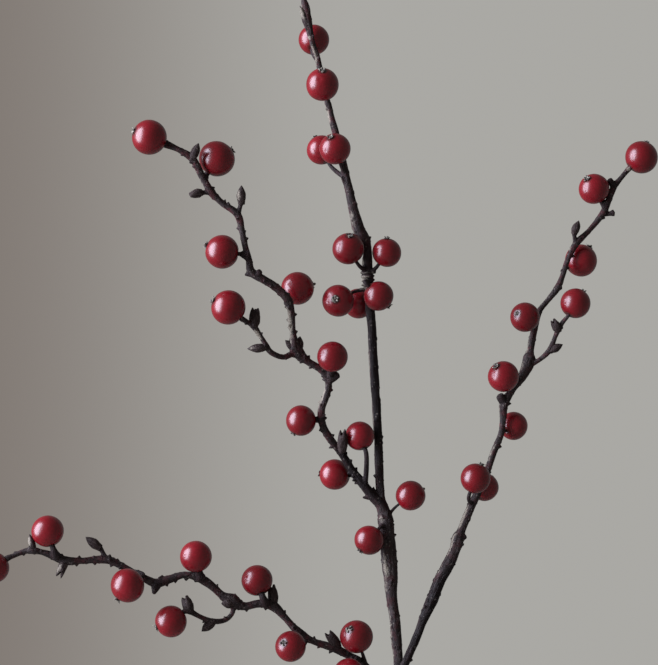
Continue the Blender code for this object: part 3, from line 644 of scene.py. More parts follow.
def stub_route(foot, tip, thickness, style):
    """The route of a stub, or of the collar that a bud stands in."""
    if has_scales(style):
        tip = foot * (1 - COLLAR_REACH) + tip * COLLAR_REACH
    if style == "stalk":
        widths = BUD_STALK
    else:
        widths = [thickness * share for share in STUB_SHAPES.get(style, COLLAR_SHAPE)]
    return [(*foot, widths[0]), (*(foot + tip) / 2, widths[1]), (*tip, widths[2])]


# ---------------------------------------------------------------- branches


VOXEL = 0.25
RELAX_ROUNDS = 3
# Where the grain of the shoots, of the stalks and of the buds starts, and the step to the next one
SHOOT_GRAIN = 400.0
STALK_GRAIN = 2000.0
BUD_GRAIN = 5000.0
NEXT_GRAIN = 40.0
# Spurs stand above the vase's rim, short of a shoot's end, and clear of berries and buds
SPUR_LOWEST = 152
SPUR_TO_END = 2.0
SPUR_TO_BERRY = 1.2
SPUR_TO_BUD = 3.2
# Noise on the bark: its fineness along the grain and across it, and its place
LUMPS = (0.22, 0.55, 3.7)
RIDGES = (0.10, 0.85, 11.3)
WRINKLES = (1.5, 0.6, 23.1)
WARTS = (0.75, 0.95, 61.3)
RAGS = (0.13, 0.5, 41.9)
LUMP_HEIGHT = 0.16
RIDGE_HEIGHT = 0.09
WRINKLE_HEIGHT = 0.05
WART_HEIGHT = 0.16
WOUND_HEIGHT = 0.60
WOUND_WIDTH = 0.40
WOUND_REACH = (3.4, 2.6)
BARK_INSET = 0.05
USUAL_RADIUS = 1.4
# The relief grows with the radius, between these shares, and is lower on a stalk
RELIEF_SIZES = (0.3, 1.6)
STALK_RELIEF = 0.35
WART_NOISE = (0.36, 0.60)
# Painted light: how much paler the bark and the buds are painted on the side toward the window, in
# spots
LIT_BARK = 0.36
LIT_BUD = 0.27
LIT_STALK = 0.4
LIT_SIDE = (0.25, 0.80)
LIT_SPOTS = (-0.15, 0.25)
# A wound's pale scar, shown on all but the side away from the window: partly painted light
PALE_WOUND = 0.95
WOUND_SIDE = (0.7, -0.2)
# From what radius down a shoot is coloured as a thin one, and how stalk-like a spur's tip is
THIN_SHOOT = (1.40, 1.15)
SPUR_TINT = 0.6


def voxel_union(name, parts):
    """One skin round all the parts, in millimetres, as points, faces and point normals."""
    points, faces, start = [], [], 0
    for part_points, part_faces in parts:
        points.append(part_points)
        faces += moved(part_faces, start)
        start += len(part_points)
    mesh = bpy.data.meshes.new(name)
    mesh.from_pydata(np.vstack(points).tolist(), [], faces)
    rough = bpy.data.objects.new(name, mesh)
    bpy.context.scene.collection.objects.link(rough)
    remesh = rough.modifiers.new("skin", "REMESH")
    remesh.mode = "VOXEL"
    remesh.voxel_size = VOXEL
    relax = rough.modifiers.new("relax", "SMOOTH")
    relax.factor = 0.5
    relax.iterations = RELAX_ROUNDS
    bpy.context.view_layer.update()
    evaluated = rough.evaluated_get(bpy.context.evaluated_depsgraph_get())
    skin = bpy.data.meshes.new_from_object(evaluated)
    places = np.empty(len(skin.vertices) * 3)
    skin.vertices.foreach_get("co", places)
    normals = np.empty(len(skin.vertices) * 3)
    skin.vertex_normals.foreach_get("vector", normals)
    quads = [tuple(polygon.vertices) for polygon in skin.polygons]
    bpy.data.objects.remove(rough)
    bpy.data.meshes.remove(mesh)
    bpy.data.meshes.remove(skin)
    return places.reshape(-1, 3), quads, normals.reshape(-1, 3)


def joined(lines, key):
    return np.concatenate([getattr(line, key) for line in lines])


def nearest_on_lines(points, lines):
    """The kind, radius and way of the line nearest to each point, and the point's own grain."""
    middle, radius, tangent = (joined(lines, key) for key in ("middle", "radius", "tangent"))
    tree = point_tree(middle)
    found = np.empty(len(points), int)
    for index, point in enumerate(points):
        near = tree.find_n(point, 8)
        found[index] = min(near, key=lambda hit: hit[2] / radius[hit[1]])[1]
    away = points - middle[found]
    along = joined(lines, "grain")[found] + (away * tangent[found]).sum(1)
    beside = (away * joined(lines, "side")[found]).sum(1)
    above = (away * joined(lines, "up")[found]).sum(1)
    kind = joined(lines, "kind")[found]
    return kind, radius[found], tangent[found], np.stack([along, beside, above], axis=1)


def field(grain, along, across, place):
    """Smooth noise from -1 to 1 at each point."""
    scaled = grain * np.array((along, across, across)) + place
    return np.array([noise.noise(point) for point in scaled.tolist()])


def spur_places(line, spacing, chance, berries, buds):
    """Points, ways, heights and reaches of the small spurs along a shoot."""
    found = []
    at = chance.uniform(0.5, 1.5) * spacing
    while at < line.along[-1] - SPUR_TO_END:
        index = int(np.searchsorted(line.along, at))
        turn = chance.uniform(0, 2 * math.pi)
        out = line.side[index] * math.cos(turn) + line.up[index] * math.sin(turn)
        place = line.middle[index] + out * line.radius[index]
        clear = place[2] > SPUR_LOWEST
        for _, middle, width, *_ in berries:
            clear = clear and np.linalg.norm(place - np.array(middle)) > width / 2 + SPUR_TO_BERRY
        for _, tip, *_ in buds:
            clear = clear and np.linalg.norm(place - np.array(tip)) > SPUR_TO_BUD
        if clear:
            way = unit(out + line.tangent[index] * chance.uniform(0.2, 0.8))
            found.append((place, way, chance.uniform(0.5, 1.15), chance.uniform(0.5, 0.75)))
        at += spacing * chance.uniform(0.4, 1.6)
    return found


def thorn_places(name, lines):
    """The same for the thorns of the list, each set on the bark of the nearest shoot."""
    middle, radius = joined(lines, "middle"), joined(lines, "radius")
    found = []
    for near, way in THORNS.get(name, ()):
        way = unit(np.array(way))
        index = np.linalg.norm(middle - np.array(near), axis=1).argmin()
        found.append((middle[index] + way * radius[index], way, THORN_HEIGHT, THORN_REACH))
    return found


def raise_spurs(points, spurs):
    """Draws the points out into spurs, and tells how near a spur's tip each point is."""
    tree = point_tree(points)
    tint = np.zeros(len(points))
    for place, way, tall, wide in spurs:
        for _, index, distance in tree.find_range(place, wide):
            share = 1 - distance / wide
            points[index] += way * tall * share**0.8
            tint[index] = max(tint[index], share)
    return tint


def wounded(points, stem):
    """How near each point is to the crest of an old wound's ring."""
    found = np.zeros(len(points))
    for ring in WOUND_RINGS:
        away = points - np.array(ring)
        tangent = stem.tangent[np.linalg.norm(stem.middle - np.array(ring), axis=1).argmin()]
        close = smooth_step(*WOUND_REACH, np.linalg.norm(away, axis=1))
        found = np.maximum(found, close * np.exp(-((np.abs(away @ tangent) / WOUND_WIDTH) ** 2)))
    return found


def relief(grain, wood, radius):
    """How far the bark stands out at each point."""
    size = np.clip(radius / USUAL_RADIUS, *RELIEF_SIZES)
    smoother = STALK_RELIEF + (1 - STALK_RELIEF) * wood
    height = LUMP_HEIGHT * field(grain, *LUMPS)
    height = height + RIDGE_HEIGHT * (1 - 2 * np.abs(field(grain, *RIDGES)))
    height = size * (height + WRINKLE_HEIGHT * field(grain, *WRINKLES)) * smoother
    warts = WART_HEIGHT * size * wood * smooth_step(*WART_NOISE, field(grain, *WARTS))
    return height - BARK_INSET + warts


def patched(points, tangent):
    """How much paler the patches make each point of a shoot, and how much darker the painted shade
    makes it.
    """
    pale, painted_shade = np.zeros(len(points)), np.zeros(len(points))
    for middle, run, across, strength in PALE_AND_PAINTED_SHADE_PATCHES:
        away = points - np.array(middle)
        ahead = (away * tangent).sum(1)
        beside = np.sqrt(np.maximum((away**2).sum(1) - ahead**2, 0))
        share = np.exp(-((ahead / run) ** 2) - (beside / across) ** 2)
        if strength > 0:
            pale = np.maximum(pale, strength * share)
        else:
            painted_shade += strength * share
    return pale, painted_shade


def bark_traits(points, normals, grain, wood, radius, tangent, wound, spur_tint):
    """How pale each point is, with painted light on the side toward the window, or how much darker
    below 0 with painted shade; then 0, for it is on no bud; and what it is on.

    That is 1 for a stalk or a stub, less for a spur, 0 for a thick shoot and -1 for a thin one."""
    ragged = smooth_step(*LIT_SPOTS, field(grain, *RAGS))
    # Painted light: the bark is made paler on the side toward the window, in ragged spots
    painted_window_light = smooth_step(*LIT_SIDE, -normals[:, 0]) * ragged * (LIT_STALK + (1 - LIT_STALK) * wood)
    # Wounds' pale scars, shown on all but the side away from the window: partly painted light
    scar_and_painted_light = PALE_WOUND * wound**2 * smooth_step(*WOUND_SIDE, normals[:, 0])
    patches, painted_shade = patched(points, tangent)
    pale = np.maximum(np.maximum(LIT_BARK * painted_window_light, scar_and_painted_light), patches) + painted_shade
    stalk = 1 - wood - wood * smooth_step(*THIN_SHOOT, radius)
    stalk = np.where(spur_tint > 0, np.maximum(stalk, spur_tint * SPUR_TINT), stalk)
    return np.stack([pale, np.zeros(len(points)), stalk], axis=1)


def named(families):
    """Each berry of the families, with its node's name first."""
    return [
        (f"{family}_{number:02d}", *berry)
        for family, berries in families.items()
        for number, berry in enumerate(berries, 1)
    ]


def grow_branch(name, shoots, buds, berries, bark):
    """A branch with its stalks, stubs and buds."""
    chance = random.Random(name)
    ends = {berry[4]: stalk_end(*berry[:4]) for berry in berries if isinstance(berry[4], str)}
    lines, spurs = [], []
    for number, (key, (points, spacing)) in enumerate(shoots.items()):
        line = Line(points + ends.get(key, []), WOOD, SHOOT_GRAIN * number, SHOOT_STEP)
        lines.append(line)
        spurs += spur_places(line, spacing, chance, berries, buds)
    spurs += thorn_places(name, lines)
    routes = [(stalk_route(*berry), STALK) for berry in berries if not isinstance(berry[4], str)]
    grown = []
    for foot, tip, thickness, style in buds:
        foot, tip = np.array(foot, float), np.array(tip, float)
        routes.append((stub_route(foot, tip, thickness, style), STUB))
        if has_scales(style):
            grown.append((unit(tip - foot), bud_points(foot, tip, thickness, chance, style)))
    for number, (route, kind) in enumerate(routes):
        lines.append(Line(route, kind, STALK_GRAIN + NEXT_GRAIN * number, STALK_STEP))

    points, faces, normals = voxel_union(name + "_skin", [line.tube() for line in lines])
    kind, radius, tangent, grain = nearest_on_lines(points, lines)
    wood = (kind == WOOD).astype(float)
    wound = wounded(points, lines[0])
    height = relief(grain, wood, radius) + WOUND_HEIGHT * wound
    points = points + normals * height[:, None]
    spur_tint = raise_spurs(points, spurs)
    traits = bark_traits(points, normals, grain, wood, radius, tangent, wound, spur_tint)

    all_points, all_faces, all_grain, all_traits = [points], list(faces), [grain], [traits]
    start = len(points)
    for number, (way, (bud, bud_faces, bud_grain, painted_window_light)) in enumerate(grown):
        all_points.append(bud)
        all_faces += moved(bud_faces, start)
        all_grain.append(bud_grain + np.array((BUD_GRAIN + NEXT_GRAIN * number, 0, 0)))
        # Painted light: the buds are made paler on their side toward the window
        bud_pale = np.maximum(LIT_BUD * painted_window_light, patched(bud, way)[0])
        all_traits.append(np.stack([bud_pale, np.ones(len(bud)), np.zeros(len(bud))], axis=1))
        start += len(bud)
    branch = mesh_object(name + "_wood", np.vstack(all_points), all_faces, [bark])
    add_vectors(branch, "grain", np.vstack(all_grain))
    add_vectors(branch, "traits", np.vstack(all_traits))
    thin_out(branch)
    return branch


# ---------------------------------------------------------------- berries


BERRY_ROWS = 34
BERRY_COLUMNS = 48
# A calyx lobe's sections, in berry radii: how far out, how high, and half as wide
LOBE_SECTIONS = (
    (0.060, 0.950, 0.050),
    (0.105, 1.000, 0.076),
    (0.150, 1.035, 0.088),
    (0.200, 1.052, 0.080),
    (0.236, 1.054, 0.044),
)
LOBE_CORNERS = 6
LOBE_THICKNESS = 0.046
NUB = ((0.105, 0.950), (0.095, 0.995), (0.060, 1.010), (0.034, 1.045), (0.022, 1.060))
NUB_COLUMNS = 12
NUB_FOOT = (0, 0, 0.945)
NUB_TOP = (0, 0, 1.063)
CALYX_HEIGHT = 0.95
# The width of the stalk's dimple, and the depth and the width of the dip under the calyx
DIMPLE_WIDTH = 0.16
DIP_DEPTH = 0.03
DIP_WIDTH = 0.12
WAVE_HEIGHT = 0.006
PEAR_SHAPE = 0.008
ANY_TURN = (0, 6.28)


def berry_points(radius, chance):
    """The body: from the calyx's end, down the outside, to the dimple of the stalk."""
    turn = turns(BERRY_COLUMNS)
    waves = [(chance.uniform(*ANY_TURN), chance.uniform(-1, 1)) for _ in range(4)]
    squash = chance.uniform(0.97, 1.0)
    rings = []
    for angle in np.linspace(0, math.pi, BERRY_ROWS + 2)[1:-1]:
        x, z = math.sin(angle), math.cos(angle)
        if z < 0:
            z += DIMPLE_DEPTH * math.exp(-((x / DIMPLE_WIDTH) ** 2))
        else:
            z -= DIP_DEPTH * math.exp(-((x / DIP_WIDTH) ** 2))
        swell = np.ones(BERRY_COLUMNS)
        for number, (phase, strength) in enumerate(waves, 2):
            share = math.sin(angle) ** number
            swell += WAVE_HEIGHT * strength * share * np.cos(number * turn + phase)
        swell *= 1 + PEAR_SHAPE * math.sin(2 * angle + waves[0][0])
        rings.append(level_ring(x * swell, turn, z * squash))
    ends = [(0, 0, (1.0 - DIP_DEPTH) * squash), (0, 0, (DIMPLE_DEPTH - 1.0) * squash)]
    return np.vstack([*rings, ends]) * radius, flipped(ring_faces(BERRY_ROWS, BERRY_COLUMNS))


def calyx_points(radius, chance):
    """The withered star on the far end of a berry: a ring of small lobes round a nub."""
    points, faces = [], []
    count = chance.choice((4, 5, 5, 6))
    first_turn = chance.uniform(*ANY_TURN)
    rows = len(LOBE_SECTIONS)
    for number in range(count):
        turn = first_turn + (number + chance.uniform(-0.16, 0.16)) * 2 * math.pi / count
        out = np.array((math.cos(turn), math.sin(turn), 0.0))
        across = np.array((-math.sin(turn), math.cos(turn), 0.0))
        lift = np.array((0, 0, 1.0)) - out * 0.3
        rise = chance.uniform(-0.05, 0.09)
        length, width = chance.uniform(0.78, 1.08), chance.uniform(0.8, 1.2)
        faces += moved(ring_faces(rows, LOBE_CORNERS), len(points))
        for step, (r, z, half) in enumerate(LOBE_SECTIONS):
            share = step / (rows - 1)
            middle = out * r * length + np.array((0, 0, z + rise * share * share))
            for angle in turns(LOBE_CORNERS):
                wide = across * math.cos(angle) * half * width
                thick = lift * math.sin(angle) * LOBE_THICKNESS * (1 - 0.6 * share)
                points.append(middle + wide + thick)
        points.append(out * 0.05 + np.array(NUB_FOOT))
        points.append(out * 0.250 * length + np.array((0, 0, LOBE_SECTIONS[-1][1] + rise)))
    faces += flipped(moved(ring_faces(len(NUB), NUB_COLUMNS), len(points)))
    ring = turns(NUB_COLUMNS)
    for r, z in NUB:
        points += list(level_ring(r * (1 + 0.15 * np.cos(5 * ring + first_turn)), ring, z))
    points += [np.array(NUB_FOOT), np.array(NUB_TOP)]
    return np.array(points) * radius, faces


def turned(points, way):
    """The points with their Z axis turned to the way."""
    turn = Vector(way).to_track_quat("Z", "Y").to_matrix()
    return points @ np.array(turn).T


def make_berry(name, middle, width, facing, skin, calyx):
    """A berry with its calyx.

    Its traits are how near a point is to the calyx, or how far out on the calyx; the berry's own
    tone; and how near the point is to the stalk."""
    chance = random.Random(name)
    radius = width / 2
    facing = unit(np.array(facing, float))
    way, _ = stalk_of(name, facing)
    body, body_faces = berry_points(radius, chance)
    body = turned(body, -way)
    star, star_faces = calyx_points(radius, chance)
    reach = np.linalg.norm(star[:, :2], axis=1) / radius
    foot = np.array((0, 0, CALYX_HEIGHT * radius))
    star = (star - foot) * CALYX_SIZES.get(name, 1.0) + foot
    points = np.vstack([body, turned(star, facing)])
    faces = body_faces + moved(star_faces, len(body))
    kinds = [0] * len(body_faces) + [1] * len(star_faces)
    berry = mesh_object(name + "_fruit", points, faces, [skin, calyx], kinds)
    tone = chance.uniform(0, 1)
    start = np.array([chance.uniform(-50, 50) for _ in range(3)])
    add_vectors(berry, "grain", points + start)
    ways = body / np.linalg.norm(body, axis=1)[:, None]
    near_calyx = np.concatenate([ways @ facing, reach])
    near_stalk = np.concatenate([ways @ way, np.zeros(len(star))])
    add_vectors(berry, "traits", np.stack([near_calyx, np.full(len(points), tone), near_stalk], 1))
    berry.location = Vector(middle) * MM
    return berry


# ---------------------------------------------------------------- vase


VASE_COLUMNS = 160
ARC_POINTS = 34
# The outline in half width and height, from the floor inside, over the lip and down to the foot
INNER_FLOOR = ((2.0, 4.5), (26.0, 4.5), 8)
INNER_BELLY_ARC = ((26, 4.5), (34, 6.5), (44, 26), (44, 54))
INNER_SHOULDER_ARC = ((44, 54), (44, 95.5), (10.5, 100.5), (10.5, 137))
LIP = (
    (10.5, 137), (11.3, 144), (13, 148.8), (14.2, 150), (16.3, 150), (17.5, 148.8), (17.2, 146.5),
    (15.1, 143), (14.5, 137),
)
OUTER_SHOULDER_ARC = ((14.5, 137), (14.5, 100.5), (48, 97.5), (48, 54))
OUTER_BELLY_ARC = ((48, 54), (48, 24), (39, 6), (31, 1))
FOOT = ((30.6, 0.45), (30.1, 0.1), (29.6, 0.0), (27.0, 0.0), (26.3, 0.3), (25.8, 1.1), (24.0, 1.4))
UNDERSIDE = ((20.0, 1.5), (3.0, 1.5), 5)
GLAZE_INSET = 0.22


def bezier(start, leave, arrive, end):
    start, leave, arrive, end = (np.array(corner, float) for corner in (start, leave, arrive, end))
    t = np.linspace(0, 1, ARC_POINTS + 1)[1:, None]
    s = 1 - t
    return s**3 * start + 3 * s * s * t * leave + 3 * s * t * t * arrive + t**3 * end


def thrown_radius(r, z, turn):
    """The radius round the vase's outside, with the lines and the sway of throwing by hand."""
    lines = 0.10 * math.sin(z * 1.55 + 0.8 * math.sin(z * 0.21)) if 6 < z < 140 else 0.0
    sway = 0.12 * np.cos(2 * turn + z * 0.02) + 0.08 * np.cos(3 * turn - z * 0.05)
    return r + (lines - GLAZE_INSET + sway if z > 3 else 0.0)


def make_vase(clay):
    lip = smooth_route([(r, 0, z, 0) for r, z in LIP], 0.5)[1:, (0, 2)]
    inside = [np.linspace(*INNER_FLOOR), bezier(*INNER_BELLY_ARC), bezier(*INNER_SHOULDER_ARC), lip]
    outside = [bezier(*OUTER_SHOULDER_ARC), bezier(*OUTER_BELLY_ARC)]
    turn = turns(VASE_COLUMNS)
    rings = [level_ring(r, turn, z) for r, z in np.vstack(inside)]
    rings += [level_ring(thrown_radius(r, z, turn), turn, z) for r, z in np.vstack(outside)]
    rings += [level_ring(r, turn, z) for r, z in np.vstack([FOOT, np.linspace(*UNDERSIDE)])]
    ends = [(0, 0, INNER_FLOOR[0][1]), (0, 0, UNDERSIDE[0][1])]
    faces = flipped(ring_faces(len(rings), VASE_COLUMNS))
    vase = mesh_object("vase_pot", np.vstack([*rings, ends]), faces, [clay])
    vase.visible_glossy = False
    return vase


# ---------------------------------------------------------------- materials


class Shades:
    """The node tree of a material or of the world, made with short calls."""

    def __init__(self, owner):
        owner.use_nodes = True
        self.owner = owner
        self.tree = owner.node_tree

    def value(self, source, socket):
        if isinstance(source, bpy.types.NodeSocket):
            self.tree.links.new(source, socket)
        else:
            socket.default_value = source

    def node(self, kind, inputs=None, **settings):
        made = self.tree.nodes.new(kind)
        for key, setting in settings.items():
            setattr(made, key, setting)
        for key, source in (inputs or {}).items():
            self.value(source, made.inputs[key])
        return made

    def attribute(self, name):
        made = self.node("ShaderNodeAttribute", attribute_name=name, attribute_type="GEOMETRY")
        return made.outputs["Vector"]

    def place(self, kind="Object"):
        return self.node("ShaderNodeTexCoord").outputs[kind]

    def part(self, vector, which):
        return self.node("ShaderNodeSeparateXYZ", {0: vector}).outputs[which]

    def stretch(self, vector, scale):
        made = self.node("ShaderNodeVectorMath", {0: vector, 1: scale}, operation="MULTIPLY")
        return made.outputs[0]

    def noise(self, vector, scale, detail=4.0, roughness=0.5):
        inputs = {"Vector": vector, "Scale": scale, "Detail": detail, "Roughness": roughness}
        return self.node("ShaderNodeTexNoise", inputs).outputs[0]

    def cells(self, vector, scale, feature="F1"):
        inputs = {"Vector": vector, "Scale": scale}
        return self.node("ShaderNodeTexVoronoi", inputs, feature=feature).outputs[0]

    def math(self, operation, first, second=0.0):
        return self.node("ShaderNodeMath", {0: first, 1: second}, operation=operation).outputs[0]

    def times(self, first, second):
        return self.math("MULTIPLY", first, second)

    def weigh(self, *pairs):
        """The sum of the values, each times its weight."""
        total, *others = [self.times(value, weight) for value, weight in pairs]
        for other in others:
            total = self.math("ADD", total, other)
        return total

    def span(self, value, low, high, to_low=0.0, to_high=1.0):
        inputs = {"Value": value, "From Min": low, "From Max": high}
        inputs.update({"To Min": to_low, "To Max": to_high})
        return self.node("ShaderNodeMapRange", inputs, interpolation_type="SMOOTHSTEP").outputs[0]

    def mix(self, factor, first, second):
        """The first colour at 0, the second at 1."""
        made = self.node("ShaderNodeMix", data_type="RGBA")
        self.value(factor, made.inputs[0])
        self.value(first, made.inputs[6])
        self.value(second, made.inputs[7])
        return made.outputs[2]

    def ramp(self, value, *stops):
        made = self.node("ShaderNodeValToRGB", {0: value})
        elements = made.color_ramp.elements
        elements[0].position, elements[0].color = stops[0]
        elements[1].position, elements[1].color = stops[-1]
        for position, colour in stops[1:-1]:
            elements.new(position).color = colour
        return made.outputs[0]

    def bump(self, height, distance, strength=1.0, under=None):
        inputs = {"Height": height, "Distance": distance, "Strength": strength}
        if under is not None:
            inputs["Normal"] = under
        return self.node("ShaderNodeBump", inputs).outputs[0]

    def finish(self, **sockets):
        shader = self.tree.nodes["Principled BSDF"]
        for key, source in sockets.items():
            self.value(source, shader.inputs[key.replace("_", " ")])
        return self.owner


def new_material(name):
    return Shades(bpy.data.materials.new(name))


def skin_material():
    """Waxy deep red skin with fine pores, darker round the calyx and the stalk."""
    s = new_material("winterberry_skin")
    grain, traits = s.attribute("grain"), s.attribute("traits")
    calyx, tone, stalk = s.part(traits, 0), s.part(traits, 1), s.part(traits, 2)
    broad = s.noise(grain, 0.16, 3.0)
    mottle = s.noise(grain, 1.1, 5.0, 0.65)
    fine = s.noise(grain, 4.5, 3.0, 0.6)
    colour = s.ramp(
        s.weigh((broad, 0.55), (mottle, 0.45), (s.math("SUBTRACT", tone, 0.5), 0.22)),
        (0.25, (0.112, 0.0016, 0.0040, 1)),
        (0.45, (0.150, 0.0024, 0.0060, 1)),
        (0.60, (0.190, 0.0037, 0.0088, 1)),
        (0.80, (0.245, 0.0070, 0.0135, 1)),
    )
    pore = s.span(s.cells(grain, 1.9), 0.10, 0.17, 1.0, 0.0)
    colour = s.mix(s.times(pore, 0.22), colour, (0.33, 0.06, 0.06, 1))
    colour = s.mix(s.span(calyx, 0.925, 0.975, 0.0, 0.75), colour, (0.040, 0.010, 0.010, 1))
    colour = s.mix(s.span(stalk, 0.90, 0.975, 0.0, 0.7), colour, (0.060, 0.014, 0.010, 1))
    normal = s.bump(s.weigh((fine, 0.5), (pore, -0.35)), 0.00003)
    normal = s.bump(s.noise(grain, 0.55, 3.0), 0.00006, 1.0, normal)
    return s.finish(
        Base_Color=colour,
        Roughness=s.span(mottle, 0.3, 0.7, 0.46, 0.58),
        Normal=normal,
        IOR=1.47,
        Coat_Weight=1.0,
        Coat_Roughness=0.27,
        Coat_IOR=1.56,
        Specular_IOR_Level=0.03,
    )


def calyx_material():
    """Dry, nearly black brown with paler tips, and pale flecks that are partly painted glints."""
    s = new_material("winterberry_calyx")
    reach = s.part(s.attribute("traits"), 0)
    flecks_and_glints = s.noise(s.attribute("grain"), 1.7, 3.0, 0.6)
    # Pale flecks: dry calyx, and partly painted glints where light catches the lobes
    colour = s.ramp(
        flecks_and_glints,
        (0.36, (0.010, 0.008, 0.008, 1)),
        (0.50, (0.035, 0.027, 0.024, 1)),
        (0.60, (0.30, 0.28, 0.22, 1)),
        (0.72, (0.60, 0.57, 0.46, 1)),
    )
    colour = s.mix(s.span(reach, 0.15, 0.24, 0.0, 0.35), colour, (0.42, 0.40, 0.32, 1))
    rough = s.span(flecks_and_glints, 0.3, 0.7, 0.75, 0.55)
    return s.finish(Base_Color=colour, Roughness=rough, Normal=s.bump(flecks_and_glints, 0.00012))


def bark_material():
    """Dark purple-brown bark with grey streaks, pale patches of wear, painted light on the window
    side, darker patches of painted shade and fine cracks.
    """
    s = new_material("winterberry_bark")
    grain, traits = s.attribute("grain"), s.attribute("traits")
    pale, bud, stalk = s.part(traits, 0), s.part(traits, 1), s.part(traits, 2)
    streak = s.noise(s.stretch(grain, (0.16, 1.0, 1.0)), 1.1, 5.0, 0.6)
    fibre = s.noise(s.stretch(grain, (0.35, 2.4, 2.4)), 1.6, 4.0, 0.6)
    blotch = s.noise(grain, 0.30, 4.0, 0.6)
    mottle = s.noise(grain, 0.95, 4.0, 0.65)
    colour = s.ramp(
        s.weigh((streak, 0.5), (fibre, 0.2), (blotch, 0.3)),
        (0.33, (0.0225, 0.0155, 0.0150, 1)),
        (0.46, (0.0315, 0.0230, 0.0220, 1)),
        (0.56, (0.0440, 0.0335, 0.0315, 1)),
        (0.68, (0.0860, 0.0710, 0.0630, 1)),
    )
    ruddy = s.span(s.noise(grain, 0.42, 3.0, 0.6), 0.46, 0.64)
    ruddy = s.times(ruddy, s.span(stalk, -1.0, 0.0, 0.85, 0.40))
    colour = s.mix(ruddy, colour, (0.072, 0.0215, 0.0235, 1))
    # Painted shade: the bark is made darker where the first trait is below 0
    colour = s.mix(s.span(pale, -0.5, 0.0, 0.85, 0.0), colour, (0.0070, 0.0050, 0.0050, 1))
    cracks = s.cells(s.stretch(grain, (0.30, 1.0, 1.0)), 0.85, "DISTANCE_TO_EDGE")
    crack = s.span(cracks, 0.0, 0.07, 1.0, 0.0)
    colour = s.mix(s.times(crack, 0.55), colour, (0.010, 0.007, 0.007, 1))
    dots = s.span(s.cells(s.stretch(grain, (0.8, 0.8, 0.8)), 0.75), 0.12, 0.20, 0.45, 0.0)
    colour = s.mix(dots, colour, (0.20, 0.175, 0.15, 1))
    bud_tone = s.ramp(
        fibre,
        (0.30, (0.018, 0.011, 0.011, 1)),
        (0.55, (0.042, 0.029, 0.027, 1)),
        (0.75, (0.105, 0.083, 0.068, 1)),
    )
    colour = s.mix(bud, colour, bud_tone)
    # Pale bark from wear, with painted light on the side toward the window
    wear_and_painted_light = s.math("ADD", pale, s.weigh((streak, 0.30), (mottle, 0.70)))
    colour = s.mix(s.span(wear_and_painted_light, 0.78, 1.02, 0.0, 0.92), colour, (0.230, 0.204, 0.160, 1))
    colour = s.mix(s.times(stalk, 0.55), colour, (0.020, 0.014, 0.014, 1))
    rough = s.span(streak, 0.3, 0.7, 0.50, 0.74)
    normal = s.bump(s.weigh((streak, 0.8), (fibre, 0.35), (crack, -0.35)), 0.00022)
    normal = s.bump(s.noise(grain, 5.0, 3.0), 0.00004, 1.0, normal)
    return s.finish(Base_Color=colour, Roughness=rough, Normal=normal, Specular_IOR_Level=0.16)


def clay_material():
    """Matt grey stoneware glaze with iron specks, bare clay at the foot."""
    s = new_material("vase_stoneware")
    place = s.place()
    height = s.part(place, 2)
    cloud = s.noise(place, 28.0, 5.0, 0.6)
    grains = s.noise(place, 700.0, 4.0, 0.7)
    bands = s.noise(s.stretch(place, (0.25, 0.25, 1.0)), 160.0, 4.0, 0.6)
    glaze = s.ramp(
        s.weigh((cloud, 0.6), (bands, 0.25), (grains, 0.15)),
        (0.30, (0.215, 0.203, 0.185, 1)),
        (0.48, (0.300, 0.285, 0.258, 1)),
        (0.66, (0.390, 0.372, 0.338, 1)),
    )
    small = s.span(s.cells(place, 420.0), 0.10, 0.19, 0.65, 0.0)
    large = s.span(s.cells(place, 150.0), 0.07, 0.14, 1.0, 0.0)
    small = s.times(small, s.span(cloud, 0.40, 0.62, 0.25, 1.0))
    glaze = s.mix(small, glaze, (0.105, 0.070, 0.045, 1))
    glaze = s.mix(s.times(large, 0.75), glaze, (0.060, 0.038, 0.026, 1))
    rim = s.span(s.math("ADD", height, s.times(cloud, 0.003)), 0.1475, 0.1515, 0.0, 0.7)
    glaze = s.mix(rim, glaze, (0.20, 0.145, 0.10, 1))
    edge = s.math("ADD", height, s.times(s.noise(place, 60.0, 3.0), 0.0022))
    bare = s.span(edge, 0.0062, 0.0068, 1.0, 0.0)
    body = s.ramp(grains, (0.3, (0.215, 0.160, 0.115, 1)), (0.7, (0.335, 0.265, 0.200, 1)))
    rough = s.math("ADD", s.span(cloud, 0.3, 0.7, 0.42, 0.60), s.times(bare, 0.28))
    return s.finish(
        Base_Color=s.mix(bare, glaze, body),
        Roughness=rough,
        Normal=s.bump(s.weigh((grains, 0.35), (bands, 0.5), (large, -0.3)), 0.00022),
        Coat_Weight=0.12,
        Coat_Roughness=0.35,
    )


# ---------------------------------------------------------------- room, light and camera


FLOOR_COLUMNS = 96
FLOOR_RINGS = (200, 500, 800, 1100)
LIGHT_TARGET = (-0.02, 0.0, 0.28)
# Name, place, width and height, power, colour
LIGHTS = (
    ("window", (-1.16, -0.32, 0.56), (1.02, 1.70), 56.0, (0.80, 0.83, 1.0)),
    ("curtain", (-1.30, -0.33, 0.55), (1.9, 2.4), 8.0, (0.88, 0.84, 1.0)),
)
CAMERA_PLACE = (-0.0229, -0.8, 0.2723)
CAMERA_LENS = 134.3
CAMERA_SENSOR = 36.0


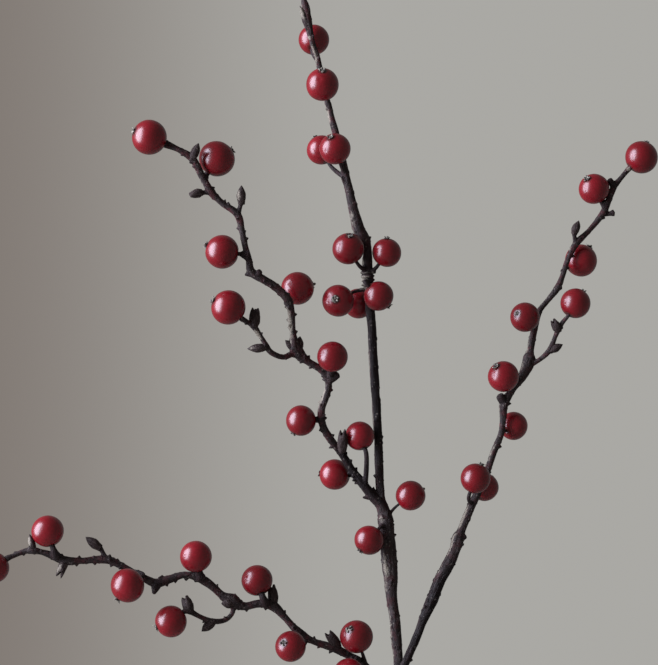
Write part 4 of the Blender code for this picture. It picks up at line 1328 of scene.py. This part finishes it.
def floor_material():
    """Pale board with painted shade near the window, where more light falls. It fades out to its
    edge.
    """
    s = new_material("pale_floor")
    place = s.place()
    tone = s.noise(place, 9.0, 4.0, 0.6)
    colour = s.ramp(tone, (0.3, (0.40, 0.38, 0.34, 1)), (0.7, (0.45, 0.43, 0.39, 1)))
    # Painted shade: the board is made darker toward the window, against its stronger light
    painted_shade_near_window = s.span(s.part(place, 0), -0.90, -0.10, 0.88, 0.0)
    colour = s.mix(painted_shade_near_window, colour, (0.010, 0.010, 0.009, 1))
    grain = s.noise(place, 260.0, 3.0)
    away = s.node("ShaderNodeVectorMath", {0: place}, operation="LENGTH").outputs["Value"]
    return s.finish(
        Base_Color=colour,
        Roughness=s.span(grain, 0.3, 0.7, 0.62, 0.75),
        Normal=s.bump(grain, 0.0002, 0.5),
        Alpha=s.span(away, 0.55, 1.05, 1.0, 0.0),
        Specular_IOR_Level=0.08,
    )


def make_floor():
    columns = FLOOR_COLUMNS
    rings = [level_ring(radius, turns(columns), 0.0) for radius in FLOOR_RINGS]
    points = np.vstack([*rings, (0, 0, 0)])
    centre = len(points) - 1
    faces = []
    for j in range(columns):
        k = (j + 1) % columns
        faces.append((centre, j, k))
        for a in range(0, centre - columns, columns):
            b = a + columns
            faces.append((a + j, b + j, b + k, a + k))
    floor = mesh_object("floor", points, faces, [floor_material()])
    floor.visible_glossy = False


def make_world():
    """A plain room with painted shade on the left of what the camera sees of it, and its own weak
    light.
    """
    world = bpy.data.worlds.new("room")
    bpy.context.scene.world = world
    s = Shades(world)
    s.tree.nodes.clear()
    way = s.place("Generated")
    # Painted shade: the wall that the camera sees is darker on the left
    side = s.span(s.part(way, 0), -0.16, 0.02)
    wall_with_painted_shade = s.mix(side, (0.215, 0.187, 0.168, 1), (0.402, 0.395, 0.373, 1))
    seen = s.node("ShaderNodeBackground", {"Color": wall_with_painted_shade})
    back = s.span(s.part(way, 1), 0.35, 1.0, 0.25, 0.28)
    shed = s.node("ShaderNodeBackground", {"Color": (0.62, 0.60, 0.60, 1), "Strength": back})
    by_camera = s.node("ShaderNodeLightPath").outputs["Is Camera Ray"]
    inputs = {0: by_camera, 1: shed.outputs[0], 2: seen.outputs[0]}
    shader = s.node("ShaderNodeMixShader", inputs).outputs[0]
    s.node("ShaderNodeOutputWorld", {"Surface": shader})


def add_light(name, place, size, power, colour):
    light = bpy.data.lights.new(name, "AREA")
    light.shape = "ELLIPSE"
    light.size, light.size_y = size
    light.energy = power
    light.color = colour
    item = bpy.data.objects.new(name, light)
    bpy.context.scene.collection.objects.link(item)
    item.location = place
    item.rotation_mode = "QUATERNION"
    item.rotation_quaternion = (Vector(LIGHT_TARGET) - item.location).to_track_quat("-Z", "Y")
    item.visible_camera = False


def make_camera():
    camera = bpy.data.cameras.new("camera")
    camera.sensor_width = CAMERA_SENSOR
    camera.lens = CAMERA_LENS
    item = bpy.data.objects.new("camera", camera)
    bpy.context.scene.collection.objects.link(item)
    item.location = CAMERA_PLACE
    item.rotation_euler = (math.pi / 2, 0.0, 0.0)
    bpy.context.scene.camera = item


def main():
    bark, skin, calyx, clay = bark_material(), skin_material(), calyx_material(), clay_material()
    for name, shoots, buds, families in BRANCHES:
        berries = named(families)
        branch = grow_branch(name, shoots, buds, berries, bark)
        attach(branch, "root")
        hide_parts(name)
        for node_name, middle, width, facing, _ in berries:
            berry = make_berry(node_name, middle, width, facing, skin, calyx)
            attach(berry, "root")
            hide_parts(node_name)
    vase = make_vase(clay)
    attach(vase, "root")
    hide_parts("vase")
    make_floor()
    make_world()
    for light in LIGHTS:
        add_light(*light)
    make_camera()
    bpy.context.scene.view_settings.view_transform = "Standard"


main()
